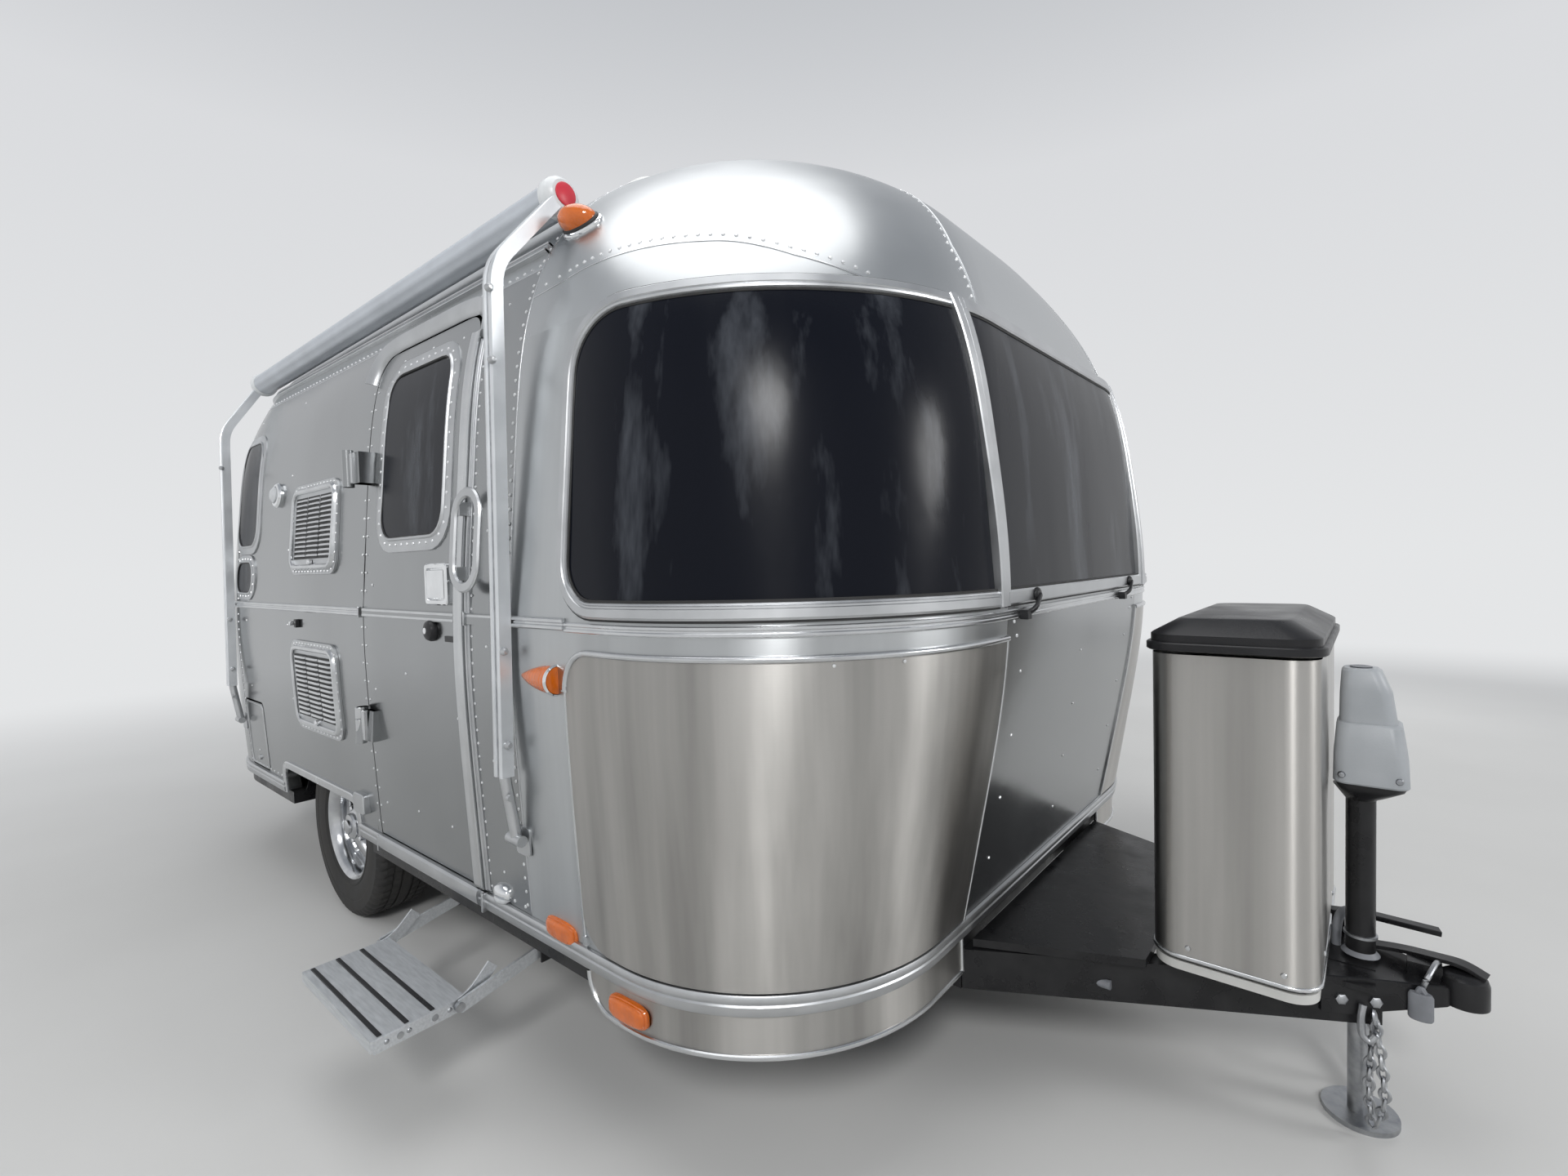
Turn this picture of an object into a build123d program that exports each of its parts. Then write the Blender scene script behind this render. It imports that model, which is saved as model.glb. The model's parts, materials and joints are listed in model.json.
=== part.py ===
from build123d import *
import os
from math import atan2, cos, sin, sqrt

# Riveted aluminium travel caravan, millimetres.
# x runs forward from the front of the belt, y to the street side, z up from the ground.
# Every file is moved so that the coupler's ball centre is the origin.

BALL_X = 800
BALL_Z = 370
BALL_R = 29.8

BODY_LENGTH = 4050
BELT_Z = 1230
BODY_BOTTOM = 430
WALL = 45
SKIN_STAND = 5
LAID_GAP = 0.4

# Rows of the body, bottom to top: height, half width, how far the front and the rear
# stand back from the belt, and the plan radius of the front and rear corners.
BODY_ROWS = [
    {"z": 430, "half": 1190, "front": 135, "rear": 90, "front_r": 500, "rear_r": 500},
    {"z": 800, "half": 1211, "front": 60, "rear": 40, "front_r": 560, "rear_r": 540},
    {"z": 1230, "half": 1220, "front": 0, "rear": 0, "front_r": 620, "rear_r": 600},
    {"z": 1620, "half": 1190, "front": 26, "rear": 20, "front_r": 660, "rear_r": 620},
    {"z": 1950, "half": 1148, "front": 86, "rear": 70, "front_r": 700, "rear_r": 650},
    {"z": 2205, "half": 1048, "front": 208, "rear": 160, "front_r": 755, "rear_r": 670},
    {"z": 2400, "half": 878, "front": 371, "rear": 290, "front_r": 712, "rear_r": 620},
    {"z": 2532, "half": 677, "front": 583, "rear": 470, "front_r": 522, "rear_r": 480},
    {"z": 2614, "half": 428, "front": 945, "rear": 730, "front_r": 335, "rear_r": 340},
    {"z": 2654, "half": 184, "front": 1245, "rear": 1010, "front_r": 130, "rear_r": 150},
]

FRONT_SEAM = -1000
REAR_SEAM = -3450
ROOF_SEAM = 2130
WINDOW_TOP = 1935
WINDOW_BOTTOM = 1270
WRAP_REAR = -760
MULLION_Y = 600
GUARD_EDGE_Y = 560
REAR_SPLIT_Y = 560

DOOR_REAR = -1930
DOOR_FRONT = -1253
DOOR_BOTTOM = 482
DOOR_TOP = 2078
DOOR_GAP = 6
DOOR_FRONT_GAP = 14
HINGE_Y = -1238

WHEEL_X = -2490
WHEEL_R = 352
TYRE_OUTER_Y = 1132
TYRE_WIDTH = 215
RIM_R = 195
ARCH_FRONT = -1975
ARCH_REAR = -2950
ARCH_TOP = 560

VENT_REAR = -2670
VENT_FRONT = -2175

RAIL_TOP = 475
RAIL_STAND = 14

DECK_Z = 380
COVER_REAR = 240
COVER_FRONT = 562
COVER_HALF = 335
COVER_BOTTOM = 425
COVER_TOP = 1125
LID_TOP = 1205

JACK_X = 622
HEAD_X = 640
JACK_TUBE_R = 28.5
JACK_LEG_R = 24.5

STEP_REAR = -1575
STEP_FRONT = -1085

AWNING_R = 46
ARM_Y = -1254

AC_X = -1900
FAN_X = -2800
ROOF_TOP = BODY_ROWS[-1]["z"]


def save(name, shape):
    """Move a piece to the coupler's frame and write it."""
    os.makedirs("parts", exist_ok=True)
    solids = shape.solids()
    whole = solids[0] if len(solids) == 1 else Compound(children=list(solids))
    moved = Pos(-BALL_X, 0, -BALL_Z) * whole
    export_step(moved, f"parts/{name}.step")
    box = moved.bounding_box()
    print(name, len(solids), round(whole.volume / 1e6, 3), [round(v) for v in (box.min.X, box.min.Y, box.min.Z)],
          [round(v) for v in (box.max.X, box.max.Y, box.max.Z)])


def block(x0, x1, y0, y1, z0, z1):
    """A box between two corners."""
    return Pos((x0 + x1) / 2, (y0 + y1) / 2, (z0 + z1) / 2) * Box(abs(x1 - x0), abs(y1 - y0), abs(z1 - z0))


def plan_outline(z, half, front, rear, front_r, rear_r):
    """A body row as four lines and four corner arcs."""
    k = sqrt(0.5)
    fx = front - front_r
    rx = rear + rear_r
    fy = half - front_r
    ry = half - rear_r
    edges = [
        Line((front, -fy, z), (front, fy, z)),
        ThreePointArc((front, fy, z), (fx + front_r * k, fy + front_r * k, z), (fx, half, z)),
        Line((fx, half, z), (rx, half, z)),
        ThreePointArc((rx, half, z), (rx - rear_r * k, ry + rear_r * k, z), (rear, ry, z)),
        Line((rear, ry, z), (rear, -ry, z)),
        ThreePointArc((rear, -ry, z), (rx - rear_r * k, -ry - rear_r * k, z), (rx, -half, z)),
        Line((rx, -half, z), (fx, -half, z)),
        ThreePointArc((fx, -half, z), (fx + front_r * k, -fy - front_r * k, z), (front, -fy, z)),
    ]
    return make_face(Curve() + edges)


def body_form(stand):
    """The body's form, its surface moved out by stand (in if negative)."""
    faces = []
    last = len(BODY_ROWS) - 1
    for i, row in enumerate(BODY_ROWS):
        below = BODY_ROWS[max(i - 1, 0)]
        above = BODY_ROWS[min(i + 1, last)]
        slope = atan2(above["z"] - below["z"], below["half"] - above["half"])
        out = stand * sin(slope)
        up = stand * cos(slope)
        if i == 0:
            up = min(up, 0) - 20 if stand < 0 else 0
        if i == last:
            up = stand
        faces.append(plan_outline(row["z"] + up, row["half"] + out, out - row["front"],
                                  -BODY_LENGTH - out + row["rear"], row["front_r"] + out, row["rear_r"] + out))
    return loft(faces)


def rounded_xz(x0, x1, z0, z1, r, y0, y1):
    """A side-view rounded rectangle, as a block from y0 to y1."""
    sketch = Plane.XZ * (Pos((x0 + x1) / 2, (z0 + z1) / 2) * RectangleRounded(abs(x1 - x0), abs(z1 - z0), r))
    solid = extrude(sketch, amount=abs(y1 - y0))
    top = solid.bounding_box()
    return Pos(0, max(y0, y1) - top.max.Y, 0) * solid


def rounded_yz(y0, y1, z0, z1, r, x0, x1):
    """A front-view rounded rectangle, as a block from x0 to x1."""
    sketch = Plane.YZ * (Pos((y0 + y1) / 2, (z0 + z1) / 2) * RectangleRounded(abs(y1 - y0), abs(z1 - z0), r))
    solid = extrude(sketch, amount=abs(x1 - x0))
    top = solid.bounding_box()
    return Pos(max(x0, x1) - top.max.X, 0, 0) * solid


def tube_along(points, radius, bend):
    """A round bar along a bent path."""
    path = FilletPolyline(*points, radius=bend) if len(points) > 2 else Line(*points)
    start = Plane(path @ 0, z_dir=path % 0)
    return sweep(start * Circle(radius), path=path)


def bar_along(points, wide, deep, bend, x_dir):
    """A rectangular bar along a bent path."""
    path = FilletPolyline(*points, radius=bend) if len(points) > 2 else Line(*points)
    start = Plane(path @ 0, x_dir=x_dir, z_dir=path % 0)
    return sweep(start * Rectangle(wide, deep), path=path)


# Body skins
outer = body_form(0)
inner = body_form(-WALL)
shell = outer - inner
glass_skin = body_form(SKIN_STAND) - body_form(-10)
# What is laid on the skin starts a paper's thickness off it
laid_base = body_form(LAID_GAP)

FAR = 3000

door_opening = rounded_xz(DOOR_REAR - DOOR_GAP, DOOR_FRONT + DOOR_FRONT_GAP, 330, DOOR_TOP + DOOR_GAP, 90, -FAR, -700)
door_prism = rounded_xz(DOOR_REAR, DOOR_FRONT, 330, DOOR_TOP, 84, -FAR, -700)
door_prism -= block(DOOR_REAR - 50, DOOR_FRONT + 50, -FAR, 0, 0, DOOR_BOTTOM)
door_core = rounded_xz(DOOR_REAR + 22, DOOR_FRONT - 22, 330, DOOR_TOP - 22, 70, -FAR, -700)
door_core -= block(DOOR_REAR - 50, DOOR_FRONT + 50, -FAR, 0, 0, DOOR_BOTTOM + 20)

# Side windows: name, side (-1 curb, 1 street), x range, z range, corner radius
SIDE_WINDOWS = [
    {"name": "curb_rear_window", "side": -1, "x0": -3425, "x1": -3145, "z0": 1490, "z1": 1960, "r": 80},
    {"name": "curb_low_window", "side": -1, "x0": -3430, "x1": -3215, "z0": 1284, "z1": 1424, "r": 60},
    {"name": "street_front_window", "side": 1, "x0": -2100, "x1": -1350, "z0": 1450, "z1": 1930, "r": 90},
    {"name": "street_rear_window", "side": 1, "x0": -3390, "x1": -2830, "z0": 1450, "z1": 1930, "r": 90},
]
DOOR_WINDOW = {"x0": -1800, "x1": -1366, "z0": 1452, "z1": 1975, "r": 75}
REAR_WINDOW = {"y0": -480, "y1": 480, "z0": 1400, "z1": 1880, "r": 90}

# Hinged side hatches: name, side, x range, z range
HATCHES = [
    {"name": "curb_hatch", "side": -1, "x0": -3430, "x1": -3168, "z0": 485, "z1": 785, "r": 20},
    {"name": "street_hatch", "side": 1, "x0": -1700, "x1": -1250, "z0": 485, "z1": 760, "r": 20},
]


def side_span(side, reach=700):
    """The y range that covers one side wall."""
    return (side * reach, side * FAR)


window_cuts = []
for w in SIDE_WINDOWS:
    a, b = sorted(side_span(w["side"]))
    window_cuts.append(rounded_xz(w["x0"], w["x1"], w["z0"], w["z1"], w["r"], a, b))
hatch_cuts = []
for h in HATCHES:
    a, b = sorted(side_span(h["side"]))
    hatch_cuts.append(rounded_xz(h["x0"] - 6, h["x1"] + 6, h["z0"] - 6, h["z1"] + 8, h["r"] + 6, a, b))

arch_cut = rounded_xz(ARCH_REAR, ARCH_FRONT, 200, ARCH_TOP, 120, -FAR, FAR)
wheel_room = block(WHEEL_X - 420, WHEEL_X + 420, 860, 1152, 300, 770)
wheel_room += block(WHEEL_X - 420, WHEEL_X + 420, -1152, -860, 300, 770)

curb_zone = block(REAR_SEAM, FRONT_SEAM, -FAR, -700, 0, ROOF_SEAM)
street_zone = block(REAR_SEAM, FRONT_SEAM, 700, FAR, 0, ROOF_SEAM)

curb_wall = (shell & curb_zone) - arch_cut - wheel_room - door_opening
for cut in window_cuts[:2] + hatch_cuts[:1]:
    curb_wall -= cut
curb_rear = curb_wall & block(REAR_SEAM, DOOR_REAR - DOOR_GAP, -FAR, 0, 0, ROOF_SEAM)
curb_over = curb_wall & block(DOOR_REAR - DOOR_GAP, DOOR_FRONT + DOOR_FRONT_GAP, -FAR, 0, 1000, ROOF_SEAM)
curb_front = curb_wall & block(DOOR_FRONT + DOOR_FRONT_GAP, FRONT_SEAM, -FAR, 0, 0, ROOF_SEAM)
save("curb_wall_rear", curb_rear)
save("curb_wall_over_door", curb_over)
front_moulding = (body_form(9) - body_form(-5)) & block(DOOR_FRONT + 34, FRONT_SEAM, -FAR, 0, BELT_Z - 14, BELT_Z + 14)
save("curb_wall_front", curb_front + front_moulding)

street_wall = (shell & street_zone) - arch_cut - wheel_room
for cut in window_cuts[2:] + hatch_cuts[1:]:
    street_wall -= cut
save("street_wall", street_wall)

roof = shell & block(REAR_SEAM, FRONT_SEAM, -FAR, FAR, ROOF_SEAM, 3000)
save("roof_skin", roof)

# Front end
dome = shell & block(FRONT_SEAM, 200, -FAR, FAR, WINDOW_TOP, 3000)
save("front_dome", dome)

wrap_side = rounded_xz(WRAP_REAR, 400, WINDOW_BOTTOM, WINDOW_TOP, 95, -FAR, FAR)
wrap_front = block(-1200, 300, MULLION_Y + 16, FAR, 0, 3000) + block(-1200, 300, -FAR, -MULLION_Y - 16, 0, 3000)
centre_front = rounded_yz(-MULLION_Y + 16, MULLION_Y - 16, WINDOW_BOTTOM, WINDOW_TOP, 12, -450, 300)
ends = shell & block(FRONT_SEAM, 200, -FAR, FAR, 0, WINDOW_TOP)
ends -= wrap_side & wrap_front
ends -= centre_front
save("front_panel", ends & block(-300, 200, -GUARD_EDGE_Y, GUARD_EDGE_Y, 0, WINDOW_TOP))
for side, word in ((-1, "curb"), (1, "street")):
    save(f"front_corner_{word}", ends & block(FRONT_SEAM, 200, side * GUARD_EDGE_Y, side * FAR, 0, WINDOW_TOP))

wrap_glass = glass_skin & block(WRAP_REAR, 400, -FAR, FAR, WINDOW_BOTTOM, WINDOW_TOP)
wrap_glass = wrap_glass & (wrap_side & wrap_front)
for side, word in ((-1, "curb"), (1, "street")):
    save(f"wrap_window_{word}", wrap_glass & block(-1200, 300, side * 300, side * FAR, 0, 3000))
save("front_window", glass_skin & centre_front)

# Stainless guards on the front corners
guard_form = body_form(4) - laid_base
guard_outline = rounded_xz(-765, 600, BODY_BOTTOM + 48, 1170, 88, -FAR, FAR)
for side, word in ((-1, "curb"), (1, "street")):
    save(f"corner_guard_{word}", guard_form & guard_outline & block(-1000, 300, side * GUARD_EDGE_Y, side * FAR, 0, 1200))

# Rear end
save("rear_dome", shell & block(-BODY_LENGTH - 100, REAR_SEAM, -FAR, FAR, WINDOW_TOP, 3000))
rear_cut = rounded_yz(REAR_WINDOW["y0"], REAR_WINDOW["y1"], REAR_WINDOW["z0"], REAR_WINDOW["z1"], REAR_WINDOW["r"],
                      -BODY_LENGTH - 200, -BODY_LENGTH + 300)
rear_lower = shell & block(-BODY_LENGTH - 100, REAR_SEAM, -FAR, FAR, 0, WINDOW_TOP)
rear_lower -= rear_cut
save("rear_panel", rear_lower & block(-BODY_LENGTH - 100, REAR_SEAM, -REAR_SPLIT_Y, REAR_SPLIT_Y, 0, WINDOW_TOP))
for side, word in ((-1, "curb"), (1, "street")):
    save(f"rear_corner_{word}", rear_lower & block(-BODY_LENGTH - 100, REAR_SEAM, side * REAR_SPLIT_Y, side * FAR, 0, WINDOW_TOP))
save("rear_window", glass_skin & rear_cut)

for w, cut in zip(SIDE_WINDOWS, window_cuts):
    save(w["name"], glass_skin & cut)

# Door, hinged at its rear edge
dw = DOOR_WINDOW
door_window_cut = rounded_xz(dw["x0"], dw["x1"], dw["z0"], dw["z1"], dw["r"], -FAR, -700)
door_skin = (outer - body_form(-14)) & door_prism
door_inner = (body_form(-14) - inner) & door_core
lip_zone = block(DOOR_FRONT - 24, DOOR_FRONT + 26, -FAR, 0, DOOR_BOTTOM, DOOR_TOP - 60)
lip = (body_form(10) - body_form(5.5)) & lip_zone
lip_root = (body_form(6) - body_form(-5)) & block(DOOR_FRONT - 24, DOOR_FRONT - 2, -FAR, 0, DOOR_BOTTOM, DOOR_TOP - 60)
door_belt = (body_form(9) - body_form(-5)) & block(DOOR_REAR + 8, DOOR_FRONT - 30, -FAR, 0, BELT_Z - 14, BELT_Z + 14)
door = door_skin + door_inner + lip + lip_root + door_belt - door_window_cut
for z in (1700, 857):
    barrel = Pos(DOOR_REAR - 4, HINGE_Y - 6, z) * Cylinder(17, 120)
    leaf = block(DOOR_REAR + 4, DOOR_REAR + 70, -1238, -1150, z - 50, z + 50)
    door += (barrel + leaf) - inner - block(DOOR_REAR - 60, DOOR_REAR, -1221, -1100, z - 80, z + 80)
save("door_panel", door)
save("door_window", glass_skin & door_window_cut)

latch = rounded_xz(-1445, -1345, 1262, 1385, 10, -1247, -1195) + rounded_xz(-1430, -1365, 1275, 1360, 8, -1262, -1247)
save("door_latch", latch - laid_base)

for h in HATCHES:
    a, b = sorted(side_span(h["side"]))
    leaf_prism = rounded_xz(h["x0"], h["x1"], h["z0"], h["z1"], h["r"], a, b)
    save(h["name"], (outer - body_form(-26)) & leaf_prism)

# Louvred vents behind the door
for name, z0, z1 in (("vent_upper", 1360, 1705), ("vent_lower", 755, 1105)):
    frame = (body_form(8) - laid_base) & rounded_xz(VENT_REAR, VENT_FRONT, z0, z1, 60, -FAR, -700)
    save(name, frame)

# Bottom rail round the body, left open at the wheel arches
rail_form = body_form(RAIL_STAND) - laid_base
rail = rail_form & block(-FAR * 2, 400, -FAR, FAR, BODY_BOTTOM - 5, RAIL_TOP)
rail -= block(ARCH_REAR, ARCH_FRONT, -FAR, FAR, 0, 600)
save("bottom_rail_front", rail & block(ARCH_FRONT, 400, -FAR, FAR, 0, 600))
save("bottom_rail_rear", rail & block(-FAR * 2, ARCH_REAR, -FAR, FAR, 0, 600))

belt = (body_form(9) - laid_base) & block(-FAR * 2, WRAP_REAR, -FAR, FAR, BELT_Z - 14, BELT_Z + 14)
belt -= block(DOOR_REAR - 12, DOOR_FRONT + 34, -FAR, 0, 0, 3000)
save("belt_moulding_rear", belt - block(DOOR_FRONT, FAR, -FAR, 0, 0, 3000))

# Floor and chassis
FLOOR_Z = BODY_BOTTOM - 52
FLOOR_INSET = 12
lowest = BODY_ROWS[0]
floor = extrude(plan_outline(FLOOR_Z, lowest["half"] - FLOOR_INSET, -lowest["front"] - FLOOR_INSET,
                             -BODY_LENGTH + lowest["rear"] + FLOOR_INSET, lowest["front_r"] - FLOOR_INSET,
                             lowest["rear_r"] - FLOOR_INSET), amount=50)
WELL_HALF = 425
WELL_INNER_Y = 850
for side in (-1, 1):
    floor -= block(WHEEL_X - WELL_HALF - 1, WHEEL_X + WELL_HALF + 1, side * (WELL_INNER_Y - 1), side * 1300, 300, 800)
save("floor", floor)

for side, word in ((-1, "curb"), (1, "street")):
    tub = block(WHEEL_X - WELL_HALF, WHEEL_X + WELL_HALF, side * WELL_INNER_Y, side * 1160, FLOOR_Z, 785)
    tub -= block(WHEEL_X - WELL_HALF + 5, WHEEL_X + WELL_HALF - 5, side * (WELL_INNER_Y + 5), side * 1200, 300, 780)
    save(f"wheel_well_{word}", tub & body_form(-WALL - 1))

FRAME_Y = 500
FRAME_TOP = FLOOR_Z - 2
FRAME_DEEP = 100
TONGUE_END = BALL_X - 150
frame_z = FRAME_TOP - FRAME_DEEP / 2
chassis = None
for side in (-1, 1):
    beam = block(-BODY_LENGTH + 190, -150, side * FRAME_Y - 25, side * FRAME_Y + 25, FRAME_TOP - FRAME_DEEP, FRAME_TOP)
    tongue = bar_along([(-160, side * FRAME_Y, frame_z), (TONGUE_END, side * 60, frame_z)], 50, FRAME_DEEP, 10, (0, 1, 0))
    chassis = beam + tongue if chassis is None else chassis + beam + tongue
for x in (-400, -1500, -2900, -3800):
    chassis += block(x - 25, x + 25, -FRAME_Y, FRAME_Y, FRAME_TOP - 80, FRAME_TOP)
chassis += block(TONGUE_END - 130, TONGUE_END, -130, 130, FRAME_TOP - 12, FRAME_TOP)
chassis -= Pos(JACK_X, 0, FRAME_TOP) * Cylinder(JACK_TUBE_R + 1, 300)
for x in (STEP_REAR - 11, STEP_FRONT + 11):
    chassis += block(x - 3, x + 3, -1130, -FRAME_Y, 300, FRAME_TOP)
save("chassis", chassis)

AXLE_Z = 232
AXLE_X = WHEEL_X + 120
axle = Pos(AXLE_X, 0, AXLE_Z) * Rot(90, 0, 0) * Cylinder(40, 2 * 760)
for side in (-1, 1):
    arm = bar_along([(AXLE_X, side * 780, AXLE_Z), (WHEEL_X, side * 780, WHEEL_R)], 40, 70, 10, (0, 1, 0))
    spindle = Pos(WHEEL_X, side * 850, WHEEL_R) * Rot(90, 0, 0) * Cylinder(22, 180)
    axle += arm + spindle
save("axle", axle)

for side, word in ((-1, "curb"), (1, "street")):
    section = make_face(FilletPolyline((RIM_R, -TYRE_WIDTH / 2 + 18), (RIM_R + 40, -TYRE_WIDTH / 2), (WHEEL_R - 22, -TYRE_WIDTH / 2 + 4),
                                       (WHEEL_R, -TYRE_WIDTH / 2 + 24), (WHEEL_R, TYRE_WIDTH / 2 - 24), (WHEEL_R - 22, TYRE_WIDTH / 2 - 4),
                                       (RIM_R + 40, TYRE_WIDTH / 2), (RIM_R, TYRE_WIDTH / 2 - 18), radius=8, close=True))
    tyre = revolve(section, Axis.Y)
    centre_y = side * (TYRE_OUTER_Y - TYRE_WIDTH / 2)
    save(f"tyre_{word}", Pos(WHEEL_X, centre_y, WHEEL_R) * tyre)
    rim = Rot(90, 0, 0) * (Cylinder(RIM_R - 0.5, TYRE_WIDTH - 40) - Cylinder(RIM_R - 14, TYRE_WIDTH))
    face_y = side * (TYRE_WIDTH / 2 - 50)
    disc = Pos(0, face_y, 0) * Rot(90, 0, 0) * (Cylinder(RIM_R - 13, 26) - PolarLocations(125, 5) * Cylinder(36, 60))
    hub = Pos(0, side * (TYRE_WIDTH / 2 - 45), 0) * Rot(90, 0, 0) * Cylinder(48, 70)
    wheel = Pos(WHEEL_X, centre_y, WHEEL_R) * (rim + disc + hub)
    save(f"wheel_{word}", wheel - Pos(WHEEL_X, side * 850, WHEEL_R) * Rot(90, 0, 0) * Cylinder(24, 186))

# Tongue: deck, bottle cover with its lid, jack and coupler
deck = make_face(Polyline((-128, -500, DECK_Z), (COVER_REAR - 6, -345, DECK_Z), (COVER_REAR - 6, 345, DECK_Z),
                          (-128, 500, DECK_Z), close=True))
save("tongue_deck", extrude(deck, amount=20))

cover_plan = Pos((COVER_REAR + COVER_FRONT) / 2, 0, COVER_BOTTOM) * RectangleRounded(COVER_FRONT - COVER_REAR, 2 * COVER_HALF, 60)
cover_room = Pos((COVER_REAR + COVER_FRONT) / 2, 0, COVER_BOTTOM) * RectangleRounded(COVER_FRONT - COVER_REAR - 6, 2 * COVER_HALF - 6, 57)
cover = extrude(cover_plan, amount=COVER_TOP - COVER_BOTTOM) - extrude(cover_room, amount=COVER_TOP - COVER_BOTTOM)
save("bottle_cover", cover)
bottles = extrude(Pos(0, 0, -30) * cover_room, amount=20)
for side in (-1, 1):
    bottle = Pos((COVER_REAR + COVER_FRONT) / 2, side * 158, COVER_BOTTOM + 250 - 12) * Cylinder(140, 500)
    bottles += fillet(bottle.edges(), 45)
save("gas_bottles", bottles)

lid_plan = Pos((COVER_REAR + COVER_FRONT) / 2, 0, COVER_TOP + 6) * RectangleRounded(COVER_FRONT - COVER_REAR + 24, 2 * COVER_HALF + 24, 66)
lid_top = Pos((COVER_REAR + COVER_FRONT) / 2, 0, LID_TOP) * RectangleRounded(COVER_FRONT - COVER_REAR - 110, 2 * COVER_HALF - 110, 40)
lid = extrude(lid_plan, amount=30) + loft([Pos(0, 0, 30) * lid_plan, lid_top])
save("bottle_lid", lid)

mast = Pos(JACK_X, 0, 580) * (Cylinder(JACK_TUBE_R, 396) - Cylinder(JACK_LEG_R + 1, 400))
collar = Pos(JACK_X, 0, 766) * loft([Circle(JACK_TUBE_R + 2), Pos(0, 0, 30) * Circle(52)])
flange = block(TONGUE_END - 115, TONGUE_END, -58, 58, FRAME_TOP + 1, FRAME_TOP + 11)
save("jack_mast", (mast + flange + collar) - Pos(JACK_X, 0, 560) * Cylinder(JACK_LEG_R + 1, 500))
head = Pos(HEAD_X, 0, 797) * extrude(RectangleRounded(130, 130, 28), amount=100)
head += Pos(HEAD_X, 0, 897) * loft([RectangleRounded(130, 130, 28), Pos(-18, 0, 150) * RectangleRounded(84, 96, 24)])
save("jack_head", head)
leg = Pos(JACK_X, 0, 12 + 210) * Cylinder(JACK_LEG_R, 420)
foot = Pos(JACK_X, 0, 6) * Cylinder(75, 12)
save("jack_leg", leg + foot)

socket = Pos(BALL_X, 0, BALL_Z) * (Cylinder(BALL_R + 14, 56) - Pos(0, 0, -12) * Cylinder(BALL_R, 40))
shank = loft([Pos(TONGUE_END + 1, 0, BALL_Z + 4) * (Plane.YZ * RectangleRounded(112, 48, 10)),
              Pos(BALL_X - BALL_R - 6, 0, BALL_Z) * (Plane.YZ * RectangleRounded(80, 56, 10))])
shank -= Pos(BALL_X, 0, BALL_Z - 12) * Cylinder(BALL_R, 40)
save("coupler", socket + shank)

# Skirts below the front corners and the rear bumper
for side, word in ((-1, "curb"), (1, "street")):
    ring = plan_outline(335, lowest["half"] + 2, 2 - lowest["front"], -2500, lowest["front_r"] + 2, 500)
    ring_in = plan_outline(335, lowest["half"] - 6, -6 - lowest["front"], -2492, lowest["front_r"] - 6, 492)
    skirt = extrude(ring, amount=93) - extrude(ring_in, amount=93)
    save(f"corner_skirt_{word}", skirt & block(-760, 200, side * 545, side * FAR, 335, 428))
bumper = plan_outline(300, 1120, -3000, -BODY_LENGTH + 30, 400, 400)
bumper = extrude(bumper, amount=FLOOR_Z - 302)
save("rear_bumper", bumper & block(-BODY_LENGTH, -BODY_LENGTH + 170, -FAR, FAR, 0, 500))

# Entry step, let down: tread, main arms and the thin links behind them
TREAD_Z0 = 268
TREAD_Z1 = 296
ARM_TOP = (-1100, 330)
ARM_LOW = (-1345, 282)
tread = block(STEP_REAR + 16, STEP_FRONT - 16, -1545, -1325, TREAD_Z0, TREAD_Z1)
save("step_tread", tread)
arms = None
for x in (STEP_REAR + 4, STEP_FRONT - 4):
    arm = bar_along([(x, ARM_TOP[0], ARM_TOP[1]), (x, ARM_LOW[0], ARM_LOW[1])], 8, 34, 10, (1, 0, 0))
    arms = arm if arms is None else arms + arm
arms += Pos((STEP_REAR + STEP_FRONT) / 2, ARM_TOP[0], ARM_TOP[1]) * Rot(0, 90, 0) * Cylinder(9, STEP_FRONT - STEP_REAR)
save("step_arms", arms)

# Awning along the curb side, falling a little to the rear; arms bent in at the top
roller_start = (-1025, -1030, 2330)
roller_end = (-3440, -1066, 2274)
roller_axis = Plane(roller_start, z_dir=Vector(roller_end) - Vector(roller_start))
save("awning_roller", extrude(roller_axis * Circle(AWNING_R), amount=(Vector(roller_end) - Vector(roller_start)).length))
for word, x, top_y, top_z, bend_z in (("front", -1000, -1030, 2332, 2095), ("rear", -3466, -1062, 2276, 2030)):
    arm = bar_along([(x, top_y, top_z), (x, ARM_Y, bend_z), (x, ARM_Y, 850)], 38, 30, 24, (1, 0, 0))
    low = bar_along([(x, ARM_Y + 3, 860), (x, ARM_Y + 28, 690)], 26, 18, 10, (1, 0, 0))
    foot = block(x - 30, x + 30, -1250, -1180, 650, 700) - laid_base
    save(f"awning_arm_{word}", arm + low + foot)

# Roof: air conditioner and fan vent
ac_low = Pos(AC_X, 0, 2575) * extrude(RectangleRounded(1000, 680, 120), amount=150) - laid_base
ac_high = Pos(AC_X, 0, 2725) * loft([RectangleRounded(1000, 680, 120), Pos(-30, 0, 170) * RectangleRounded(820, 540, 110)])
save("air_conditioner", ac_low + ac_high)
fan_base = Pos(FAN_X, 0, ROOF_TOP + LAID_GAP) * extrude(RectangleRounded(400, 400, 50), amount=25)
fan_dome = Pos(FAN_X, 0, ROOF_TOP + LAID_GAP + 25) * loft([RectangleRounded(400, 400, 50), Pos(0, 0, 60) * RectangleRounded(340, 340, 60)])
save("roof_vent", fan_base + fan_dome)
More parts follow.
